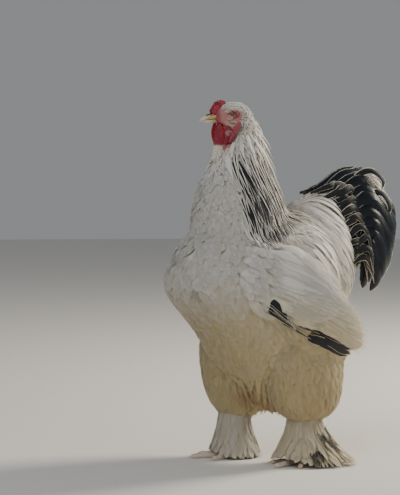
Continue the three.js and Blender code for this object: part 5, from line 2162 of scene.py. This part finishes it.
        place_vertices(bm.verts, ring)
        bmesh.ops.remove_doubles(bm, verts=bm.verts, dist=0.02)
        bmesh.ops.recalc_face_normals(bm, faces=bm.faces)
        bm.faces.ensure_lookup_table()
        first = bm.faces[0]
        middle = Vector(self.world(np.array((side.value * 10.0, 0.0, 0.0))))
        if (first.calc_center_median() - middle).dot(first.normal) < 0:
            bmesh.ops.reverse_faces(bm, faces=bm.faces)
        bmesh.ops.solidify(bm, geom=bm.faces, thickness=0.45)
        red, deep = (0.42, 0.16, 0.145), (0.27, 0.06, 0.07)
        finish = Caruncle("lid_skin", red=red, deep=deep, grain=1500.0, glow=0.15)
        add_piece(drawing, f"eyelids_{side.word}", bm, finish)

    def horn(self, points: Array) -> Array:
        """Places along the beak (z) and up (y), in the drawing."""
        return self.world(xyz(points[:, 0], -points[:, 2], points[:, 1]) + self.BEAK_ROOT)

    def build_beak(self, drawing: Drawing) -> None:
        """Makes the two halves of the beak, the upper one with a pinched, dark ridge and sunk nostrils
        painted dark as shade.
        """
        for half, slices in (("upper", self.UPPER), ("lower", self.LOWER)):
            bm = bmesh.new()
            form = Form(slices, 2.0)
            form.build(bm, 48, 64)
            points = np.array([v.co for v in bm.verts])
            x, y, z = points.T
            dyes = {"ink": np.zeros(len(x)), "warm": 0.3 + 0.7 * smooth(z, 8, 24)}
            if half == "upper":
                rows = form.rows_at(z)
                rise = (y - rows[:, 1]) / np.maximum(rows[:, 5], 0.5)
                away = np.hypot((z - 13.5) / 3.4, (y - 0.6) / 1.35)
                hood = 0.7 * np.exp(-(np.hypot((z - 12.5) / 4.2, (y - 2.6) / 1.3) ** 2))
                pinched = x * (1 - 0.28 * smooth(rise, 0.1, 1.0))
                points[:, 0] = pinched + np.sign(pinched) * (hood - 1.9 * np.exp(-(away**2) * 1.4))
                ridge = smooth(rise, 0.35, 0.85) * smooth(z, 3, 8) * smooth(z, 29, 21)
                # The ink darkens the ridge, the horn's own dark, and the sunk nostrils, where it is painted
                # shade in their hollows.
                dyes = {"ink": np.maximum(ridge * 0.95, np.exp(-(away**2) * 2.0)), "warm": smooth(z, 16, 30)}
            places = self.horn(points)
            place_vertices(bm.verts, lambda _, placed=places: placed)
            outward(bm)
            add_piece(drawing, f"horn_{half}", bm, Horn("beak_horn"), f"beak_{half}", **dyes)

    def build_comb(self, drawing: Drawing) -> None:
        """Makes the pea comb: three rows of beads that run from the beak over the brow."""
        bm = bmesh.new()
        rng = np.random.default_rng(81)
        ridge = Curve(self.RIDGE)
        for side, count, size, rise in ((0, 9, 5.2, 1.8), (-1, 8, 4.2, -0.8), (1, 8, 4.2, -0.8)):
            for share in np.linspace(0, 1, count):
                y, z = ridge.at(share)
                x = side * 4.8
                swell = 0.70 + 0.40 * math.sin(math.pi * (0.12 + 0.82 * share))
                grow = size * swell * (1 - 0.28 * share**4)
                radii = (grow * 0.72, grow * 0.85, grow * 1.25)
                self.lump(bm, (x, y - 0.5 * rise, z + 0.8 * rise), radii, 0.5)
                self.lump(bm, (x * 1.1, y + 2.0, z - 3.5), (grow * 0.85, grow, grow))
                top = np.array((x, y - 0.62 * grow, z + 0.98 * grow)) + 0.9 * rng.normal(size=3)
                self.lump(bm, top, [0.44 * grow] * 3)
        comb = remeshed(bm, 0.55, 2)
        place_vertices(comb.verts, lambda p: self.world(self.pebbled(p, comb, 0.16)))
        add_piece(drawing, "pea_comb", comb, Caruncle("comb_skin"), "comb")

    def pebbled(self, points: Array, bm: bmesh.types.BMesh, height: float) -> Array:
        """Raises small pebbles on a surface."""
        x, y, z = points.T
        pattern = np.sin(x * 3.1 + 1.7 * np.sin(y * 1.3)) * np.sin(y * 3.4 + z) * np.sin(z * 2.9 + 0.8 * x)
        return points + np.array([v.normal for v in bm.verts]) * (pattern * height)[:, None]

    def hung(
        self, drawing: Drawing, name: str, node: str, finish: Caruncle, balls: tuple[int, int],
        shape: Callable[[Array, Array, Array], Array],
    ) -> None:
        """Makes one pebbled lobe of skin.

        Args:
            drawing: carries the places into the frame.
            name: of the piece.
            node: the node of the solids that it replaces.
            finish: of its surface.
            balls: the sides and rings of the ball that it is drawn from.
            shape: takes the ball's x and y, and how far down each point is, and returns the lobe's places.
        """
        bm = bmesh.new()
        ball(bm, *balls)
        place_vertices(bm.verts, lambda p: shape(p[:, 0], p[:, 1], (1 - p[:, 2]) / 2))
        place_vertices(bm.verts, lambda p: self.world(self.pebbled(p, bm, 0.12)))
        outward(bm)
        add_piece(drawing, name, bm, finish, node)

    def build_wattles(self, drawing: Drawing, side: Side) -> None:
        """Makes one side's wattle and ear lobe."""
        sign, word = side.value, side.word

        def wattle(x: Array, y: Array, hang: Array) -> Array:
            """Draws the ball out into a thin, folded wattle."""
            wide = 5.8 + 3.4 * np.sin(math.pi * np.minimum(1, hang * 1.05)) * hang
            bow = sign * (2.4 * hang + 1.6 * np.sin(2 * math.pi * hang))
            pleat = 0.35 * np.sin(y * 6 + 2 * hang) * (1 - hang * 0.6)
            scallop = 0.8 * np.sin(y * 5 + sign) * hang**3
            x = sign * 11 + x * (3.1 - 0.7 * hang) + bow + pleat
            return xyz(x, -25.0 + 1.5 * sign + y * wide + 2 * hang, -16 - 42 * hang + scallop)

        def lobe(x: Array, y: Array, hang: Array) -> Array:
            """Draws the ball out into a long lobe."""
            wide = 4.8 + 1.6 * np.sin(math.pi * hang)
            x = sign * (22.5 - 4.5 * hang) + x * 3.0 + sign * 0.3 * np.sin(y * 5 + 3 * hang)
            y = self.LOBE_TOP[0] - self.LOBE_DRAW * hang + y * wide
            return xyz(x, y, self.LOBE_TOP[1] - self.LOBE_DROP * hang)

        # The near, left wattle is painted a darker red as shade, and the far, right one a brighter red as
        # sunlight shining through it: painted shade and painted light on one red skin.
        red = (0.34, 0.012, 0.036) if side is Side.LEFT else (0.55, 0.012, 0.034)
        finish = Caruncle(f"wattle_{word}_skin", red=red, deep=(0.22, 0.007, 0.026), grain=700.0, glow=0.45)
        self.hung(drawing, f"wattle_skin_{word}", f"wattle_{word}", finish, (64, 56), wattle)
        finish = Caruncle("lobe_skin", red=(0.36, 0.06, 0.08), deep=(0.22, 0.024, 0.042))
        self.hung(drawing, f"lobe_skin_{word}", f"ear_lobe_{word}", finish, (48, 44), lobe)

    def flow(self, points: Array) -> Array:
        """Back over the crown and cheeks, and down behind them."""
        x, y, z = self.local(points).T
        behind, below = smooth(y, 2, 34), smooth(z, 4, -20)
        lie = xyz(0.25 * np.sign(x), 1 - 0.6 * behind, -0.12 - 0.9 * behind - 0.35 * below)
        return turned(lie, self.TURN)

    def full(self, points: Array) -> Array:
        """How much higher the feathers rise at the back of the head."""
        _, y, z = self.local(points).T
        return 1 + 2.4 * smooth(y, 12, 32) * smooth(z, 20, 2)

    def build_down(self, body: Body) -> None:
        """Makes the small feathers of the head, sparse over the cheeks."""
        rng = np.random.default_rng(91)

        def wanted(points: Array, regions: Array) -> Array:
            """Keeps the crown and the back, and a few places on the pink face."""
            y, z = self.local(points)[:, 1:].T
            open_skin = self.bare(points)
            sparse = rng.random(len(points)) < 0.34 * (0.74 - open_skin)
            clear = (np.hypot((y - 1) / 1.35, z) > 9.5) & ((y > -27) | (z < -50))
            return (regions == Region.HEAD.value) & ((open_skin < 0.22) | sparse) & clear

        style = Style(10.5, 4.4, 2.0, 2.3, rounded, 4, 2, root=-0.4, stray=0.14, ragged=0.2, loose=0.4)
        looks = {"shade": 0.15, "warm": -0.05, "calm": self.full, "blush": 1.6}
        Tracts(body).cover("coat_head", style, 95, wanted, self.flow, **looks)

    def build(self, body: Body) -> None:
        """Makes all that the head carries."""
        for side in Side:
            self.build_eye(body.drawing, side)
            self.build_lids(body.drawing, side)
        self.build_beak(body.drawing)
        self.build_comb(body.drawing)
        for side in Side:
            self.build_wattles(body.drawing, side)
        self.build_down(body)


class Studio:
    """The camera at the photo's viewing angle, a pale floor and soft light."""

    AZIMUTH = math.radians(55)
    ELEVATION = math.radians(4)
    DISTANCE = 3500.0
    SIGHT = np.array((0.0, 0.0, 350.0))
    LEFT_OF_SIGHT = 139.0  # how far the frame's middle lies to the left of the sight point
    OVER_SIGHT = 61.0
    FRAME_HEIGHT = 957.0
    SENSOR = 36.0
    LIT = (0.0, 0.0, 0.35)  # the bird's middle, in metres
    FLOOR_RADIUS = 9.0

    def __init__(self, drawing: Drawing) -> None:
        """Keeps the drawing."""
        self.drawing = drawing

    def camera(self) -> None:
        """Sets the camera."""
        a, e = self.AZIMUTH, self.ELEVATION
        back = np.array((math.sin(a) * math.cos(e), -math.cos(a) * math.cos(e), math.sin(e)))
        right = np.array((math.cos(a), math.sin(a), 0.0))
        place = self.SIGHT + back * self.DISTANCE
        aim = self.SIGHT - right * self.LEFT_OF_SIGHT + np.cross(back, right) * self.OVER_SIGHT
        data = bpy.data.cameras.new("camera")
        data.sensor_width = self.SENSOR
        data.lens = self.SENSOR * self.DISTANCE / self.FRAME_HEIGHT
        bpy.context.scene.camera = self.facing("camera", data, self.drawing.place(place), aim - place)

    @staticmethod
    def facing(
        name: str, data: bpy.types.ID, place: Sequence[float], way: Sequence[float]
    ) -> bpy.types.Object:
        """Adds a camera or light at a place that looks along a way."""
        made = linked(name, data)
        made.location = place
        made.rotation_mode = "QUATERNION"
        made.rotation_quaternion = Vector(way).to_track_quat("-Z", "Y")
        return made

    def light(self, name: str, place: Sequence[float], size: float, power: float, colour: Colour) -> None:
        """Adds a square soft light that faces the bird.

        Args:
            name: of the light.
            place: in metres.
            size: of its side, in metres.
            power: in watts.
            colour: of the light.
        """
        data = bpy.data.lights.new(name, "AREA")
        data.size, data.energy, data.color = size, power, colour
        self.facing(name, data, place, Vector(self.LIT) - Vector(place))

    def build(self) -> None:
        """Makes the camera, the floor, the lights and the sky."""
        self.camera()
        bm = bmesh.new()
        bmesh.ops.create_circle(bm, cap_ends=True, segments=96, radius=self.FLOOR_RADIUS)
        floor = linked("floor", mesh_of("floor", bm))
        floor.data.materials.append(Paper().material())
        self.light("key", (1.2, -2.4, 3.0), 2.6, 42.0, (0.98, 0.99, 1.0))
        self.light("fill", (3.4, 0.6, 1.2), 2.4, 9.0, (1.0, 0.98, 0.95))
        self.light("rim", (0.2, 2.8, 2.1), 0.9, 140.0, (1.0, 0.90, 0.74))
        world = bpy.data.worlds.new("studio")
        world.use_nodes = True
        backdrop = world.node_tree.nodes["Background"]
        backdrop.inputs["Color"].default_value = (0.62, 0.63, 0.64, 1.0)
        backdrop.inputs["Strength"].default_value = 0.42
        bpy.context.scene.world = world


def main() -> None:
    """Dresses the bird and sets the studio."""
    logging.basicConfig(level=logging.INFO, format="%(name)s: %(message)s")
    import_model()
    drawing = Drawing()
    Studio(drawing).build()
    head = Head()
    wings = {side: Wing(side) for side in Side}
    body = Body(drawing, wings, head)
    body.unwrap()
    body.dress()
    Tracts(body).build()
    Hackle().build(body)
    for wing in wings.values():
        wing.build(body)
    Tail().build(body)
    for side in Side:
        Leg(side).build(body)
    head.build(body)


if __name__ == "__main__":
    main()
